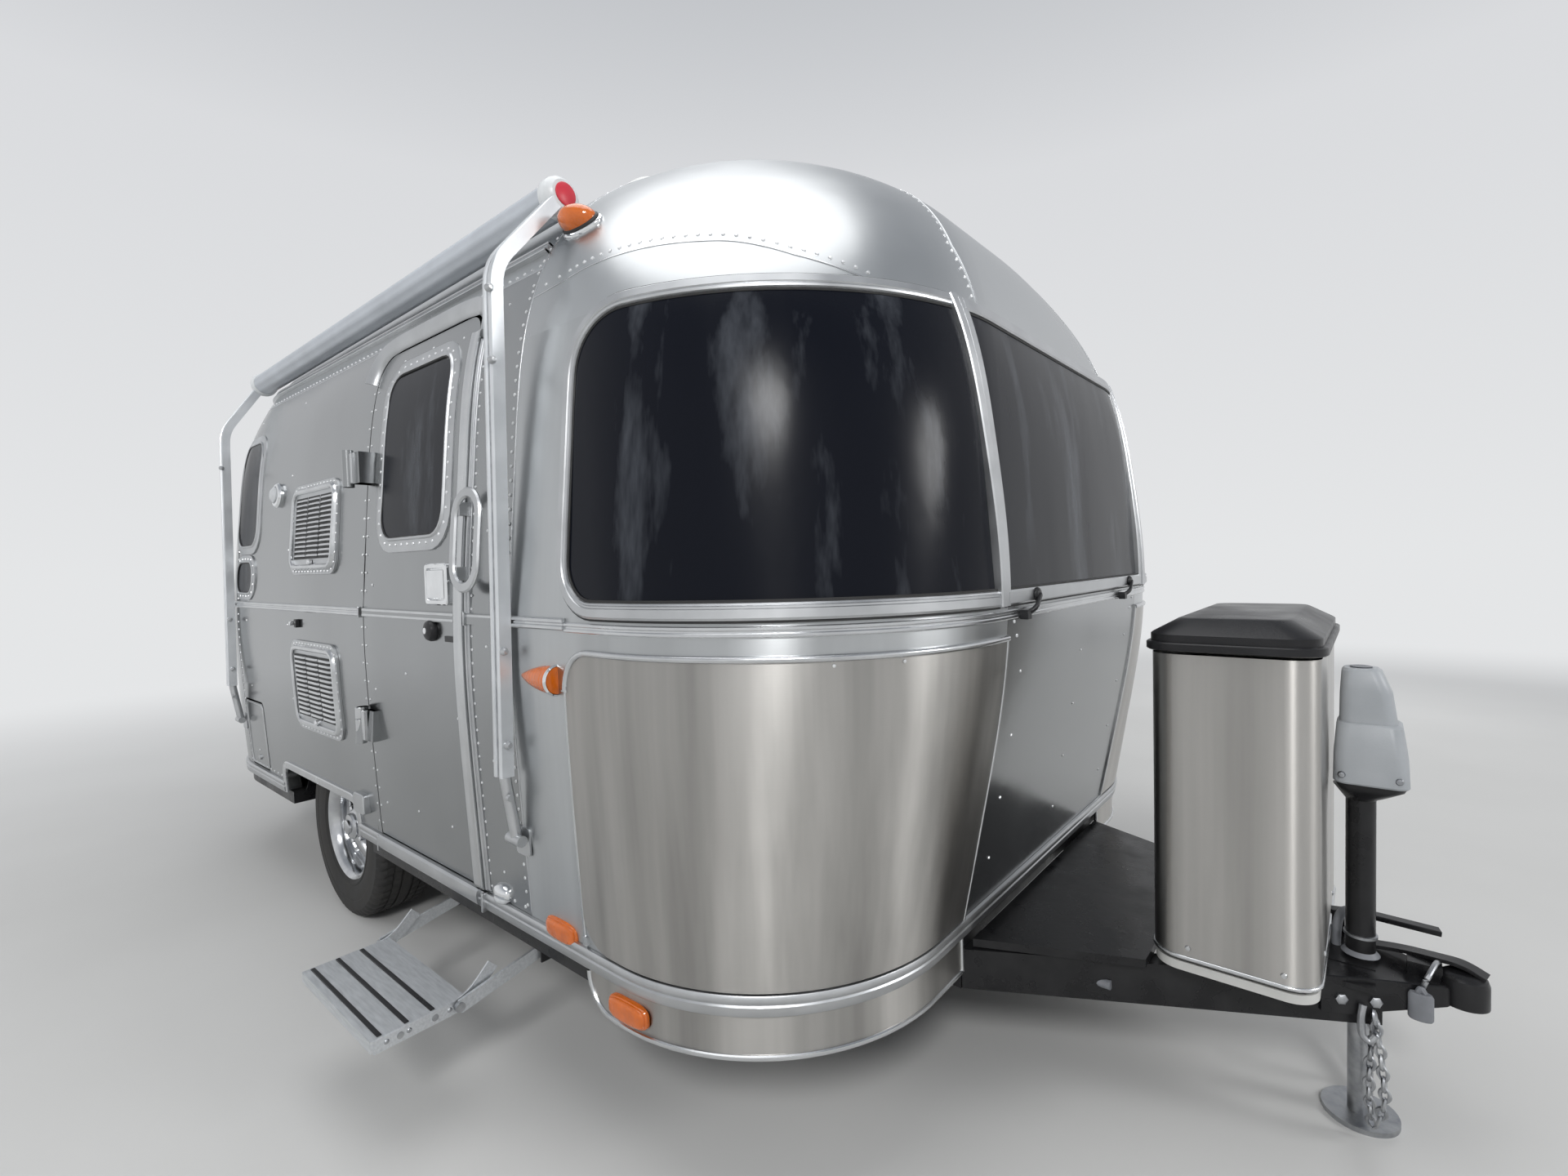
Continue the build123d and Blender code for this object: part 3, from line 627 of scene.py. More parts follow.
class CARAVAN_OT_finishes(bpy.types.Operator):
    """Every finish of the caravan as shader nodes over object coordinates, given to the frame's own nodes."""

    bl_idname = "caravan.finishes"
    bl_label = "Finishes"

    def execute(self, context):
        colours = context.scene.caravan_colours
        skin, steel, cover = (np.array(c) for c in (colours.skin, colours.stainless, colours.awning))
        plate = metal("skin", 0.86 * skin, skin, 0.16, 0.26, 2.2, (1, 1, 0.6), 0.06, 1.4)
        brushing(plate, 0.45, 700.0, 0.06)
        # Domes and roof: the skin's colour made 1.35 to 1.55 times lighter, a painted reflection of the
        # bright sky on the upward faces
        metal("dome_skin_painted_sky", 1.35 * skin, np.minimum(1.55 * skin, 1), 0.26, 0.36, 2.0, (1, 1, 1), 0.03, 1.2)
        # Front corners: the skin's colour made 1.25 to 1.6 times lighter, in upright bands that are painted
        # upright highlights; the level brushing is their real satin finish
        corner = metal("corner_skin_painted_highlights", 1.25 * skin, np.minimum(1.6 * skin, 1), 0.3, 0.38, 1.0, (7, 7, 0.4),
                       0.03, 1.1)
        brushing(corner, 0.85, 900.0, 0.1)
        # Stainless: colour in upright bands from 0.59 of the steel colour to all of it, a painted reflection;
        # the level brushing is real
        sheet = metal("stainless", 0.59 * steel, steel, 0.36, 0.42, 1.0, (9, 9, 0.35), 0.03, 1.1)
        brushing(sheet, 0.9, 1200.0, 0.2)
        metal("trim", (0.48, 0.49, 0.5), (0.58, 0.59, 0.6), 0.3, 0.42, 9.0)
        metal("bright_trim", (0.54, 0.55, 0.56), (0.66, 0.67, 0.68), 0.18, 0.28, 9.0)
        metal("rivet", (0.66, 0.67, 0.68), (0.82, 0.83, 0.84), 0.3, 0.42, 40.0).set(Metallic=0.6)
        metal("chrome", (0.74, 0.75, 0.76), (0.86, 0.87, 0.88), 0.04, 0.1, 12.0)
        metal("alloy", (0.46, 0.47, 0.49), (0.62, 0.63, 0.64), 0.12, 0.24, 18.0)
        metal("zinc", (0.3, 0.31, 0.33), (0.5, 0.51, 0.52), 0.3, 0.5, 40.0)
        metal("step_metal", (0.54, 0.56, 0.58), (0.68, 0.7, 0.72), 0.38, 0.52, 20.0,
              (1, 8, 8)).set(Metallic=0.75)
        coat("frame_paint", (0.006, 0.006, 0.007), (0.018, 0.018, 0.019), 0.2, 0.42, 14.0, 90.0,
             0.12).set(Specular_IOR_Level=0.32)
        coat("black_plastic", (0.008, 0.008, 0.009), (0.018, 0.018, 0.02), 0.26, 0.4, 8.0, 420.0,
             0.2).set(Specular_IOR_Level=0.34)
        coat("tyre", (0.014, 0.014, 0.014), (0.036, 0.034, 0.032), 0.6, 0.82, 12.0, 260.0, 0.25)
        coat("awning", 0.79 * cover, cover, 0.34, 0.46, 5.0, 200.0, 0.06)
        coat("white_plastic", (0.6, 0.62, 0.63), (0.7, 0.72, 0.73), 0.3, 0.42, 6.0, 200.0, 0.08)
        metal("arm_metal", (0.64, 0.66, 0.68), (0.74, 0.76, 0.78), 0.3, 0.42, 9.0).set(Metallic=0.7)
        coat("jack_cover", (0.3, 0.32, 0.34), (0.4, 0.42, 0.44), 0.34, 0.46, 6.0, 300.0, 0.12)
        coat("steel_bottle", (0.52, 0.52, 0.5), (0.64, 0.64, 0.62), 0.35, 0.5, 6.0)
        coat("roof_plastic", (0.62, 0.63, 0.62), (0.72, 0.73, 0.72), 0.4, 0.5, 5.0)
        coat("red_disc", (0.5, 0.02, 0.04), (0.62, 0.04, 0.06), 0.3, 0.4, 9.0)
        coat("seal", (0.008, 0.008, 0.008), (0.02, 0.02, 0.02), 0.5, 0.7, 20.0)
        glass = Nodes("glass")
        # Upright bands of the dark tint, near black to dark grey: a painted reflection of clouds in the glass
        painted_cloud_reflections = glass.noise(1.0, (7, 7, 1.3), 5.0, 0.62)
        glass.tint(painted_cloud_reflections, (0.003, 0.004, 0.008), (0.06, 0.066, 0.078), 0.54, 0.74)
        glass.link(glass.span(glass.noise(1.0, (5, 5, 1.0), 3.0), 0.14, 0.3),
                   glass.shader.inputs["Roughness"])
        glass.bump(glass.noise(1.1, (1, 1, 1), 1.0), 0.04, 0.02)
        glass.set(IOR=1.45, Specular_IOR_Level=0.16)
        MATERIALS["glass"] = glass.material
        for name, shade in (("amber", colours.amber), ("red_lens", colours.red),
                            ("clear_lens", (0.7, 0.72, 0.74))):
            m = Nodes(name)
            m.tint(m.noise(30.0), 0.8 * np.array(shade), shade)
            m.bump(m.noise(26.0, (6, 1, 1), 1.0), 0.5, 0.003)
            m.set(Roughness=0.12, Transmission_Weight=0.2, Coat_Weight=0.5, IOR=1.49)
            MATERIALS[name] = m.material
        coat("wire_grey", (0.176, 0.184, 0.2), (0.22, 0.23, 0.25), 0.4, 0.6, 30.0)
        for part in frame["record"]["subparts"]:
            finish = part["material_slot"]
            # The domes and the roof get the lighter copy of the skin, with its painted sky reflection
            if part["node"] in ("front_dome", "rear_dome", "roof_skin"):
                finish = "dome_skin_painted_sky"
            for slot in frame["nodes"][part["node"]].material_slots:
                slot.material = MATERIALS[finish]
        return {"FINISHED"}


BODY_OF = {node: body for body, nodes in frame["record"]["behaviour"]["bodies"].items() for node in nodes}
RIPPLED = ("curb_wall_rear", "curb_wall_front", "street_wall", "front_panel", "front_corner_curb",
           "front_corner_street", "corner_guard_curb", "corner_guard_street", "rear_panel",
           "rear_corner_curb", "rear_corner_street", "door_panel", "curb_hatch", "street_hatch", "vent_lower")


class CARAVAN_OT_plates(bpy.types.Operator):
    """The skin's lower plates on even rows: each point of the frame's plate through straight_skin.

    A normal n turns with the inverse transpose of that map's slope, taken by central differences of 0.5 mm.
    """

    bl_idname = "caravan.plates"
    bl_label = "Lower plates"

    def execute(self, context):
        for part in frame["record"]["subparts"]:
            if part["node"] not in RIPPLED:
                continue
            node = frame["nodes"][part["node"]]
            mesh = node.data.copy()
            mesh.name = part["node"] + "_plate"
            p = read(mesh.vertices, "co") + ORIGIN
            corner = np.empty(len(mesh.loops), np.int32)
            mesh.loops.foreach_get("vertex_index", corner)
            normal = read(mesh.corner_normals, "vector")
            e = 0.0005
            slope = np.stack([(straight_skin(p + d) - straight_skin(p - d)) / (2 * e) for d in e * np.eye(3)],
                             -1)
            turned = unit(np.einsum("nji,nj->ni", np.linalg.inv(slope)[corner], normal))
            mesh.vertices.foreach_set("co", (straight_skin(p) - ORIGIN).ravel())
            mesh.update()
            mesh.normals_split_custom_set(turned.tolist())
            piece = new_object(part["node"] + "_plate", mesh)
            # The front corners get the lighter, upright-banded copy of the skin: painted highlights
            finish = "corner_skin_painted_highlights" if "front_corner" in part["node"] else part["material_slot"]
            for slot in piece.material_slots:
                slot.material = MATERIALS[finish]
            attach(piece, BODY_OF[part["node"]])
            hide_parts(part["node"])
        return {"FINISHED"}


def seam_rivets(piece, place, share=1.0):
    """Rivets at the points and normals of place, share of the full radius wide."""
    sizes = bpy.context.scene.caravan_sizes
    piece.domes(*place, share * sizes.rivet_radius, sizes.rivet_height)


class CARAVAN_OT_seams(bpy.types.Operator):
    """Lap seams and their rivets over the whole body.

    A seam is a strip 1.2 mm proud swept along the skin; rivets stand beside it at even spacing.
    """

    bl_idname = "caravan.seams"
    bl_label = "Seams and rivets"

    def execute(self, context):
        sizes = context.scene.caravan_sizes
        laps, rivets = Piece(), Piece()
        lap = band(sizes.lap_width, 0.0012, 0.0004, 0.002)
        # Heights of a dome's petal seam, and how far from the middle it stands there
        petal = [1.95, 2.15, 2.33, 2.5, 2.6], [0.497, 0.438, 0.325, 0.2, 0.12]
        for side in (-1, 1):
            for seam, shift in ((FRONT_SEAM, -0.016), (REAR_SEAM, 0.016)):
                laps.sweep(*skin_side(seam, np.linspace(0.485, 2.64, 70), side), lap)
                seam_rivets(rivets, skin_side(seam + shift, np.arange(0.5, 2.62, 0.036), side))
            x = np.linspace(REAR_SEAM, FRONT_SEAM, 60)
            laps.sweep(*skin_side(x, ROOF_SEAM, side), lap)
            x = np.arange(REAR_SEAM + 0.03, FRONT_SEAM, 0.038)
            seam_rivets(rivets, skin_side(x, ROOF_SEAM + 0.014, side))
            # Arched seam over the wrap window, from the front seam to the window's trim
            t = np.linspace(0, 1, 60)
            u = u_at_x(FRONT_SEAM, 2.05) + t * (u_at_y(0.8, 1.99) - u_at_x(FRONT_SEAM, 2.05))
            z = 2.045 + 0.03 * np.sin(np.pi * np.minimum(t * 1.25, 1.0))
            z = z - 0.085 * np.maximum(t - 0.62, 0)**1.5 / 0.38**1.5
            laps.sweep(*skin_round(u, z, side), lap)
            at = np.linspace(0, 1, 30)
            seam_rivets(rivets, skin_round(np.interp(at, t, u), np.interp(at, t, z + 0.02), side))
            # Petal seams of the domes
            for end in (1, -1):
                z = np.linspace(WINDOW_TOP + 0.03, 2.6, 50)
                y = side * np.interp(z, *petal)
                laps.sweep(*skin_end(y, z, end), band(0.005, 0.0022, 0.0006, 0.002))
                z = np.linspace(WINDOW_TOP + 0.05, 2.58, 22)
                y = side * (np.interp(z, *petal) + 0.014)
                seam_rivets(rivets, skin_end(y, z, end))
            # Rear corners
            laps.sweep(*skin_end(side * 0.56, np.linspace(0.485, 1.93, 40), -1), lap)
            seam_rivets(rivets, skin_end(side * 0.575, np.arange(0.5, 1.92, 0.036), -1))
        u = np.linspace(0, 2.6, 80)
        for side in (-1, 1):
            p, n = skin_round(u, 1.935, side)
            keep = p[:, 0] < REAR_SEAM
            laps.sweep(p[keep], n[keep], lap)
            p, n = skin_round(u, 1.95, side)
            keep = spread(p[p[:, 0] < REAR_SEAM], 0.036)
            q, n = skin_round(np.interp(np.linspace(0, 1, len(keep)), [0, 1],
                                        [0.0, u[p[:, 0] < REAR_SEAM][-1]]), 1.95, side)
            seam_rivets(rivets, (q, n))
        # Rivets to the frames under the walls, on both sides
        for side in (-1, 1):
            for x in (-3.3, -2.72, -2.1, -1.12):
                if side < 0 and x == -2.1:
                    continue
                seam_rivets(rivets, skin_side(x, np.arange(0.56, 2.1, 0.3), side), 0.82)
            x = np.arange(REAR_SEAM + 0.03, FRONT_SEAM, 0.052)
            low = x[(x < ARCH_REAR - 0.02) | (x > ARCH_FRONT + 0.02)]
            if side < 0:
                low = low[(low < DOOR_REAR - 0.03) | (low > DOOR_FRONT + 0.03)]
            seam_rivets(rivets, skin_side(low, 0.492, side))
        for y in (-0.46, 0.0, 0.46):
            seam_rivets(rivets, skin_end(y, np.arange(0.6, 1.15, 0.16)), 0.82)
        # Front panel: odd rivets under the window
        seam_rivets(
            rivets, skin_end([-0.52, -0.3, 0.3, 0.52, -0.5, 0.5], [1.205, 1.215, 1.215, 1.205, 1.17, 1.17]))
        laps.make("seam_laps", "bright_trim", slot="trim")
        rivets.make("body_rivets", "rivet", slot="skin", solid=False)
        return {"FINISHED"}


class CARAVAN_OT_front_windows(bpy.types.Operator):
    """Trims round the wrap windows and the hinged centre window.

    Each is a bevelled strip swept round the window's outline on the skin.
    """

    bl_idname = "caravan.front_windows"
    bl_label = "Front windows"

    def execute(self, context):
        trims, seals = Piece(), Piece()
        rail_side = np.array([(-0.018, -0.006), (-0.018, 0.01), (-0.013, 0.014), (0.004, 0.014),
                              (0.006, 0.011), (0.01, 0.011), (0.012, 0.014), (0.016, 0.012), (0.018, 0.006),
                              (0.018, -0.006)])
        edge = MULLION_Y + 0.016
        r = 0.11
        for side in (-1, 1):
            z0, z1 = WINDOW_BOTTOM - 0.006, WINDOW_TOP + 0.006
            x0 = WRAP_REAR - 0.006
            low, low_n = row_between(z0, u_at_y(edge, z0), u_at_x(x0 + r, z0), 60, side)
            a = np.linspace(-np.pi / 2, -np.pi, 10)[1:-1]
            c0, c0_n = skin_side(x0 + r + r * np.cos(a), z0 + r + r * np.sin(a), side)
            z = np.linspace(z0 + r, z1 - 1.35 * r, 24)
            up, up_n = skin_side(x0, z, side)
            a = np.linspace(np.pi, np.pi / 2, 12)[1:-1]
            c1, c1_n = skin_side(
                x0 + 1.35 * r + 1.35 * r * np.cos(a), z1 - 1.35 * r + 1.35 * r * np.sin(a), side)
            top, top_n = row_between(z1, u_at_x(x0 + 1.35 * r, z1), u_at_y(edge, z1), 60, side)
            path = np.vstack([low, c0, up, c1, top])
            normal = np.vstack([low_n, c0_n, up_n, c1_n, top_n])
            trims.sweep(path, normal, rail_side * (-side, 1))
            seals.sweep(path, normal, band(0.046, 0.007, 0.001, 0.004))
            # Mullion: fixed trim of the wrap window and frame of the hinged one
            z = np.linspace(z0 - 0.018, z1 + 0.012, 30)
            trims.sweep(*skin_end(side * (MULLION_Y + 0.014), z), band(0.026, 0.018, 0.003, 0.008))
            trims.sweep(*skin_end(side * (MULLION_Y - 0.016), z), band(0.028, 0.013, 0.003, 0.008))
        y = np.linspace(-MULLION_Y + 0.02, MULLION_Y - 0.02, 50)
        for z0, wide in ((WINDOW_TOP + 0.004, 0.034), (WINDOW_BOTTOM - 0.006, 0.034)):
            p, n = skin_end(y, z0)
            trims.sweep(p, n, band(wide, 0.014, 0.004, 0.008))
            seals.sweep(p, n, band(wide + 0.01, 0.007, 0.001, 0.004))
        trims.make("front_window_trims", "trim")
        seals.make("front_window_seals", "seal", slot="black_plastic")
        latches = Piece()
        for y in (-0.42, 0.42):
            p, n = skin_end(np.array([y]), np.array([WINDOW_BOTTOM - 0.006]))
            at = p[0]
            latches.lathe(at + (0.012, 0, 0), (1, 0, 0), [(0, 0), (0.016, 0), (0.018, 0.006), (0.012, 0.012),
                                                          (0, 0.013)], 16)
            path = bent([at + (0.022, 0.004, 0), at + (0.026, -0.035, -0.03), at + (0.014, -0.06, -0.042)],
                        0.02)
            latches.sweep(path, (1, 0, 0), band(0.012, 0.006, 0.002, 0.002))
            latches.box(at + (0.002, -0.075, -0.056), at + (0.022, -0.05, -0.034))
        latches.make("front_window_latches", "black_plastic", bevel=0.002)
        return {"FINISHED"}


class CARAVAN_OT_side_windows(bpy.types.Operator):
    """Riveted frames round the side, door and rear windows: a strip swept round the opening on the skin."""

    bl_idname = "caravan.side_windows"
    bl_label = "Side windows"

    def execute(self, context):
        windows = [
            ("door_window_frame", "door", -1, -1.8, -1.37, 1.46, 1.99, 0.075, 0.046),
            ("rear_side_window_frame", "body", -1, -3.44, -3.15, 1.49, 1.96, 0.08, 0.04),
            ("low_window_frame", "body", -1, -3.43, -3.19, 1.28, 1.425, 0.06, 0.034),
            ("street_front_window_frame", "body", 1, -2.1, -1.35, 1.45, 1.93, 0.09, 0.04),
            ("street_rear_window_frame", "body", 1, -3.39, -2.83, 1.45, 1.93, 0.09, 0.04),
        ]
        for name, body, side, x0, x1, z0, z1, r, wide in windows:
            # The frame's inner edge is 6 mm inside the opening's outline
            w = wide / 2 - 0.006
            outline = spread(rounded_rect(x0 - w, x1 + w, z0 - w, z1 + w, r + w, 9), 0.03, closed=True)
            p, n = skin_side(outline[:, 0], outline[:, 1], side)
            frame_piece = Piece()
            flat = np.array([(-wide / 2, -0.004), (-wide / 2, 0.003), (-wide / 2 + 0.004, 0.0045),
                             (wide / 2 - 0.012, 0.0045), (wide / 2 - 0.008, 0.009), (wide / 2 - 0.003, 0.009),
                             (wide / 2, 0.006), (wide / 2, -0.004)])
            frame_piece.sweep(p, n, flat * (side, 1), closed=True)
            outer = spread(outline, context.scene.caravan_sizes.frame_rivet_gap, closed=True)
            q, m = skin_side(outer[:, 0], outer[:, 1], side)
            if name != "rear_side_window_frame":
                heads = Piece()
                heads.domes(q + 0.0045 * m, m, 0.0055, 0.0026)
                heads.make(name.replace("frame", "rivets"), "rivet", body, "trim", solid=False)
            frame_piece.make(name, "trim", body, "trim")
            seal = Piece()
            inner = rounded_rect(x0 + 0.004, x1 - 0.004, z0 + 0.004, z1 - 0.004, r, 9)
            seal.sweep(*skin_side(inner[:, 0], inner[:, 1], side), band(0.01, 0.007, 0.002, 0.004),
                       closed=True)
            seal.make(name.replace("frame", "seal"), "seal", body, "black_plastic")
        return {"FINISHED"}


def outline_on_skin(x0, x1, z0, z1, r, side, step=0.03):
    """Points and normals of a rounded rectangle laid on a side wall."""
    outline = spread(rounded_rect(x0, x1, z0, z1, r, 9), step, closed=True)
    return skin_side(outline[:, 0], outline[:, 1], side)


def path_on_skin(points, side, radius=0.0, step=0.03):
    """Points and normals of a bent line laid on a side wall, from x, z pairs."""
    line = bent(points, radius) if radius else np.asarray(points, float)
    line = spread(line, step)
    return skin_side(line[:, 0], line[:, 1], side)


class CARAVAN_OT_mouldings(bpy.types.Operator):
    """Belt moulding and bottom rail: two beads over a flat strip, swept along the body row at one height.

    Both stand for the plain rings of the frame; the rail's profile has a rounded upper and a flat lower band.
    """

    bl_idname = "caravan.mouldings"
    bl_label = "Belt moulding and rails"

    def execute(self, context):
        groove = np.array([(-0.014, 0.0004), (-0.014, 0.006), (-0.011, 0.009), (-0.005, 0.009),
                           (-0.002, 0.006), (0.002, 0.006), (0.005, 0.009), (0.011, 0.009), (0.014, 0.006),
                           (0.014, 0.0004)])
        rail = np.array([(-0.023, 0.0006), (-0.023, 0.0095), (-0.02, 0.0115), (-0.001, 0.0115),
                         (0.002, 0.0085), (0.004, 0.0085), (0.007, 0.011), (0.013, 0.0118), (0.019, 0.0108),
                         (0.023, 0.0075), (0.024, 0.0006)])
        sill = np.array([(-0.023, 0.001), (-0.023, 0.012), (-0.018, 0.018), (-0.008, 0.0205), (0.008, 0.0205),
                         (0.018, 0.018), (0.023, 0.012), (0.023, 0.001)])
        belt, belt_door, low = Piece(), Piece(), Piece()

        def ring(piece, z, u0, u1, side, profile, count):
            """A profile swept along the row at height z from u0 to u1."""
            piece.sweep(*row_between(z, u0, u1, count, side), profile * (side, 1))

        for side in (-1, 1):
            stop = u_at_x(WRAP_REAR - 0.002, BELT_Z)
            if side < 0:
                ring(belt, BELT_Z, 0, u_at_x(DOOR_REAR - 0.012, BELT_Z), side, groove, 110)
                ring(belt, BELT_Z, u_at_x(DOOR_FRONT + 0.034, BELT_Z), stop, side, groove, 16)
                ring(belt_door, BELT_Z, u_at_x(DOOR_REAR + 0.008, BELT_Z), u_at_x(DOOR_FRONT - 0.03, BELT_Z),
                     side, groove + (0, 0.0006), 20)
            else:
                ring(belt, BELT_Z, 0, stop, side, groove, 130)
            ring(belt, BELT_Z - 0.006, stop, 5, side, groove * (0.8, 0.62), 70)
            ring(low, BODY_ROWS[0][0] + 0.022, 0, u_at_x(ARCH_REAR, 0.45), side, rail, 90)
            ring(low, BODY_ROWS[0][0] + 0.022, u_at_x(ARCH_EDGE, 0.45), 5, side, rail, 120)
        x = np.linspace(DOOR_REAR, DOOR_FRONT, 16)
        low.sweep(*skin_side(x, 0.456), sill)
        belt.make("belt_moulding", "bright_trim", slot="trim", replaces=("belt_moulding_rear",))
        belt_door.make("belt_moulding_door", "bright_trim", "door", "trim")
        low.make("bottom_rail", "trim", replaces=("bottom_rail_front", "bottom_rail_rear"))
        arch, infill = Piece(), Piece()
        lip = np.array([(-0.012, -0.03), (-0.012, 0.006), (-0.008, 0.009), (0.016, 0.009), (0.019, 0.006),
                        (0.019, 0.0005), (-0.006, 0.0005), (-0.006, -0.03)])
        for side in (-1, 1):
            line = [(ARCH_EDGE, 0.43), (ARCH_EDGE, ARCH_TOP), (ARCH_REAR, ARCH_TOP), (ARCH_REAR, 0.43)]
            # Plate between the moulding and the frame's wider opening
            x = np.linspace(ARCH_EDGE - 0.13, ARCH_FRONT + 0.008, 40)
            low_z = np.where(x > ARCH_EDGE, 0.432,
                             ARCH_TOP - 0.135 + np.sqrt(np.maximum(0.135**2 - (x - ARCH_EDGE + 0.135)**2, 0)))
            rows = []
            for depth, t in ((0.004, 1), (-0.0003, 1), (-0.0003, 0.66), (-0.0003, 0.33), (-0.0003, 0),
                             (0.004, 0)):
                p, n = skin_side(x, low_z + (ARCH_TOP + 0.008 - low_z) * t, side)
                rows.append(p - depth * n)
            infill.grid(np.stack(rows, 1), wrap_v=True, cap_u=True)
            arch.sweep(*path_on_skin(line, side, 0.135, 0.02), lip * (side, 1))
        arch.make("arch_mouldings", "bright_trim", slot="trim")
        infill.make("arch_plates", "skin")
        ends = Piece()
        for x in (DOOR_REAR - 0.002, DOOR_FRONT + 0.028):
            p, n = skin_side(x, 0.45)
            ends.box(p + (-0.004, -0.021, -0.026), p + (0.004, -0.002, 0.026))
        for x in (DOOR_REAR - 0.014, DOOR_FRONT + 0.036):
            p, n = skin_side(x, BELT_Z)
            ends.box(p + (-0.003, -0.014, -0.018), p + (0.003, -0.001, 0.018))
        ends.make("moulding_ends", "trim", bevel=0.0015)
        return {"FINISHED"}


class CARAVAN_OT_guards(bpy.types.Operator):
    """Edge trims of the front corner guards and skirts: beads swept along their outlines."""

    bl_idname = "caravan.guards"
    bl_label = "Guards and skirts"

    def execute(self, context):
        edges, bright = Piece(), Piece()
        # The guard's top and rear edges and the radius between them; where the skirt turns up, and its radius
        top, rear, r = 1.17, -0.765, 0.088
        turn_x, turn_r = -0.676, 0.084
        for side in (-1, 1):
            p, n = row_between(top, u_at_y(GUARD_EDGE_Y, top), u_at_x(rear + r, top), 60, side)
            a = np.linspace(np.pi / 2, np.pi, 10)[1:]
            c, m = skin_side(rear + r + r * np.cos(a), top - r + r * np.sin(a), side)
            bright.sweep(np.vstack([p, c]), np.vstack([n, m]), half_round(0.0075, 7) + (0, 0.003))
            z = np.linspace(1.08, 0.476, 20)
            bright.sweep(*skin_side(rear, z, side), band(0.009, 0.0048, 0.002, 0.002))
            edges.sweep(*skin_side(-0.7705, z, side), band(0.002, 0.001, 0.0003, 0.002))
            z = np.linspace(0.476, top, 24)
            bright.sweep(*skin_end(side * (GUARD_EDGE_Y + 0.001), z), band(0.009, 0.0065, 0.002, 0.002))
            p, n = skin_side(-0.7655, 1.083, side)
            bright.box(p - (0.014, 0.006, 0.006), p + (0.01, 0.006, 0.006))
            p, n = skin_side(-0.76, 0.492, side)
            bright.box(p - (0.008, 0.007, 0.01), p + (0.008, 0.007, 0.01))
            # Skirt, and its edge with the rounded end that rises to the rail
            row, out = row_between(0.43, u_at_y(0.546, 0.43), u_at_x(-0.759, 0.43), 90, side)
            out = unit(out * (1, 1, 0))
            drop = np.sqrt(np.maximum(turn_r**2 - np.maximum(turn_x - row[:, 0], 0)**2, 0))
            foot = np.where(row[:, 0] < turn_x, 0.4205 - drop, 0.3365)
            sheet = [row * (1, 1, 0) - depth * out + np.outer(foot + (0.4275 - foot) * t, (0, 0, 1))
                     for depth, t in ((0.004, 1.0), (0.0, 1.0), (0.0, 0.5), (0.0, 0.0), (0.004, 0.0),
                                      (0.004, 0.5))]
            skirt = Piece()
            skirt.grid(np.stack(sheet, 1), wrap_v=True, cap_u=True)
            word = "curb" if side < 0 else "street"
            skirt.make(f"skirt_{word}", "stainless", replaces=(f"corner_skirt_{word}",))
            row, _ = row_between(0.43, u_at_y(0.546, 0.43), u_at_x(turn_x, 0.43), 70, side)
            row[:, 2] = 0.337
            row[:, 1] += side * 0.002
            a = np.linspace(-np.pi / 2, -np.pi, 9)[1:]
            end = np.stack([turn_x + turn_r * np.cos(a), np.full_like(a, row[-1, 1]),
                            0.421 + turn_r * np.sin(a)], -1)
            path = np.vstack([[(row[0, 0], row[0, 1], 0.425)], row[:1] + (0, 0, 0.004), row, end])
            centre = np.array([-0.633, side * 0.69, 0])
            out = path - centre
            out[:, 2] = 0
            out[path[:, 0] < -0.633] = (0, side, 0)
            out[np.abs(path[:, 1]) < 0.69] = (1, 0, 0)
            bright.sweep(path, unit(out), [(-0.005, -0.006), (-0.006, 0.001), (-0.004, 0.004), (0.0, 0.005),
                                           (0.004, 0.004), (0.006, 0.001), (0.005, -0.006)])
        edges.make("guard_seams", "seal", slot="trim")
        bright.make("guard_trims", "bright_trim", slot="trim")
        screws = Piece()
        p, n = skin_end(np.array([-0.9, -1.02, 0.9, 1.02]), 1.155)
        screws.domes(p + 0.004 * n, n, 0.005, 0.004, 8)
        screws.make("guard_screws", "chrome", slot="trim", solid=False)
        return {"FINISHED"}


def dome_cap(piece, centre, normal, along, long_r, short_r, height, rings=7, count=28, taper=0.0, square=1.0):
    """A smooth cap on an oval: radius cos(b), height sin(b), long axis along; taper leans the crown along it.

    square is the power on the oval's cosine and sine: below 1 it fills out to a rounded block.
    """
    normal, along = unit(np.asarray(normal, float)), np.asarray(along, float)
    along = unit(along - normal * (along @ normal))
    over = np.cross(normal, along)
    b = np.linspace(0, np.pi / 2, rings)
    a = turns(count)
    r, h = np.cos(b)[:, None]**square, np.sin(b)[:, None]**square
    ca = np.sign(np.cos(a)) * np.abs(np.cos(a))**square
    sa = np.sign(np.sin(a)) * np.abs(np.sin(a))**square
    p = np.asarray(centre) + (r * long_r * ca + taper * h)[..., None] * along
    p = p + (r * short_r * sa)[..., None] * over + (height * h * np.ones_like(a))[..., None] * normal
    piece.grid(np.concatenate([p[:1] - 0.006 * normal, p]), wrap_v=True, cap_u=True)


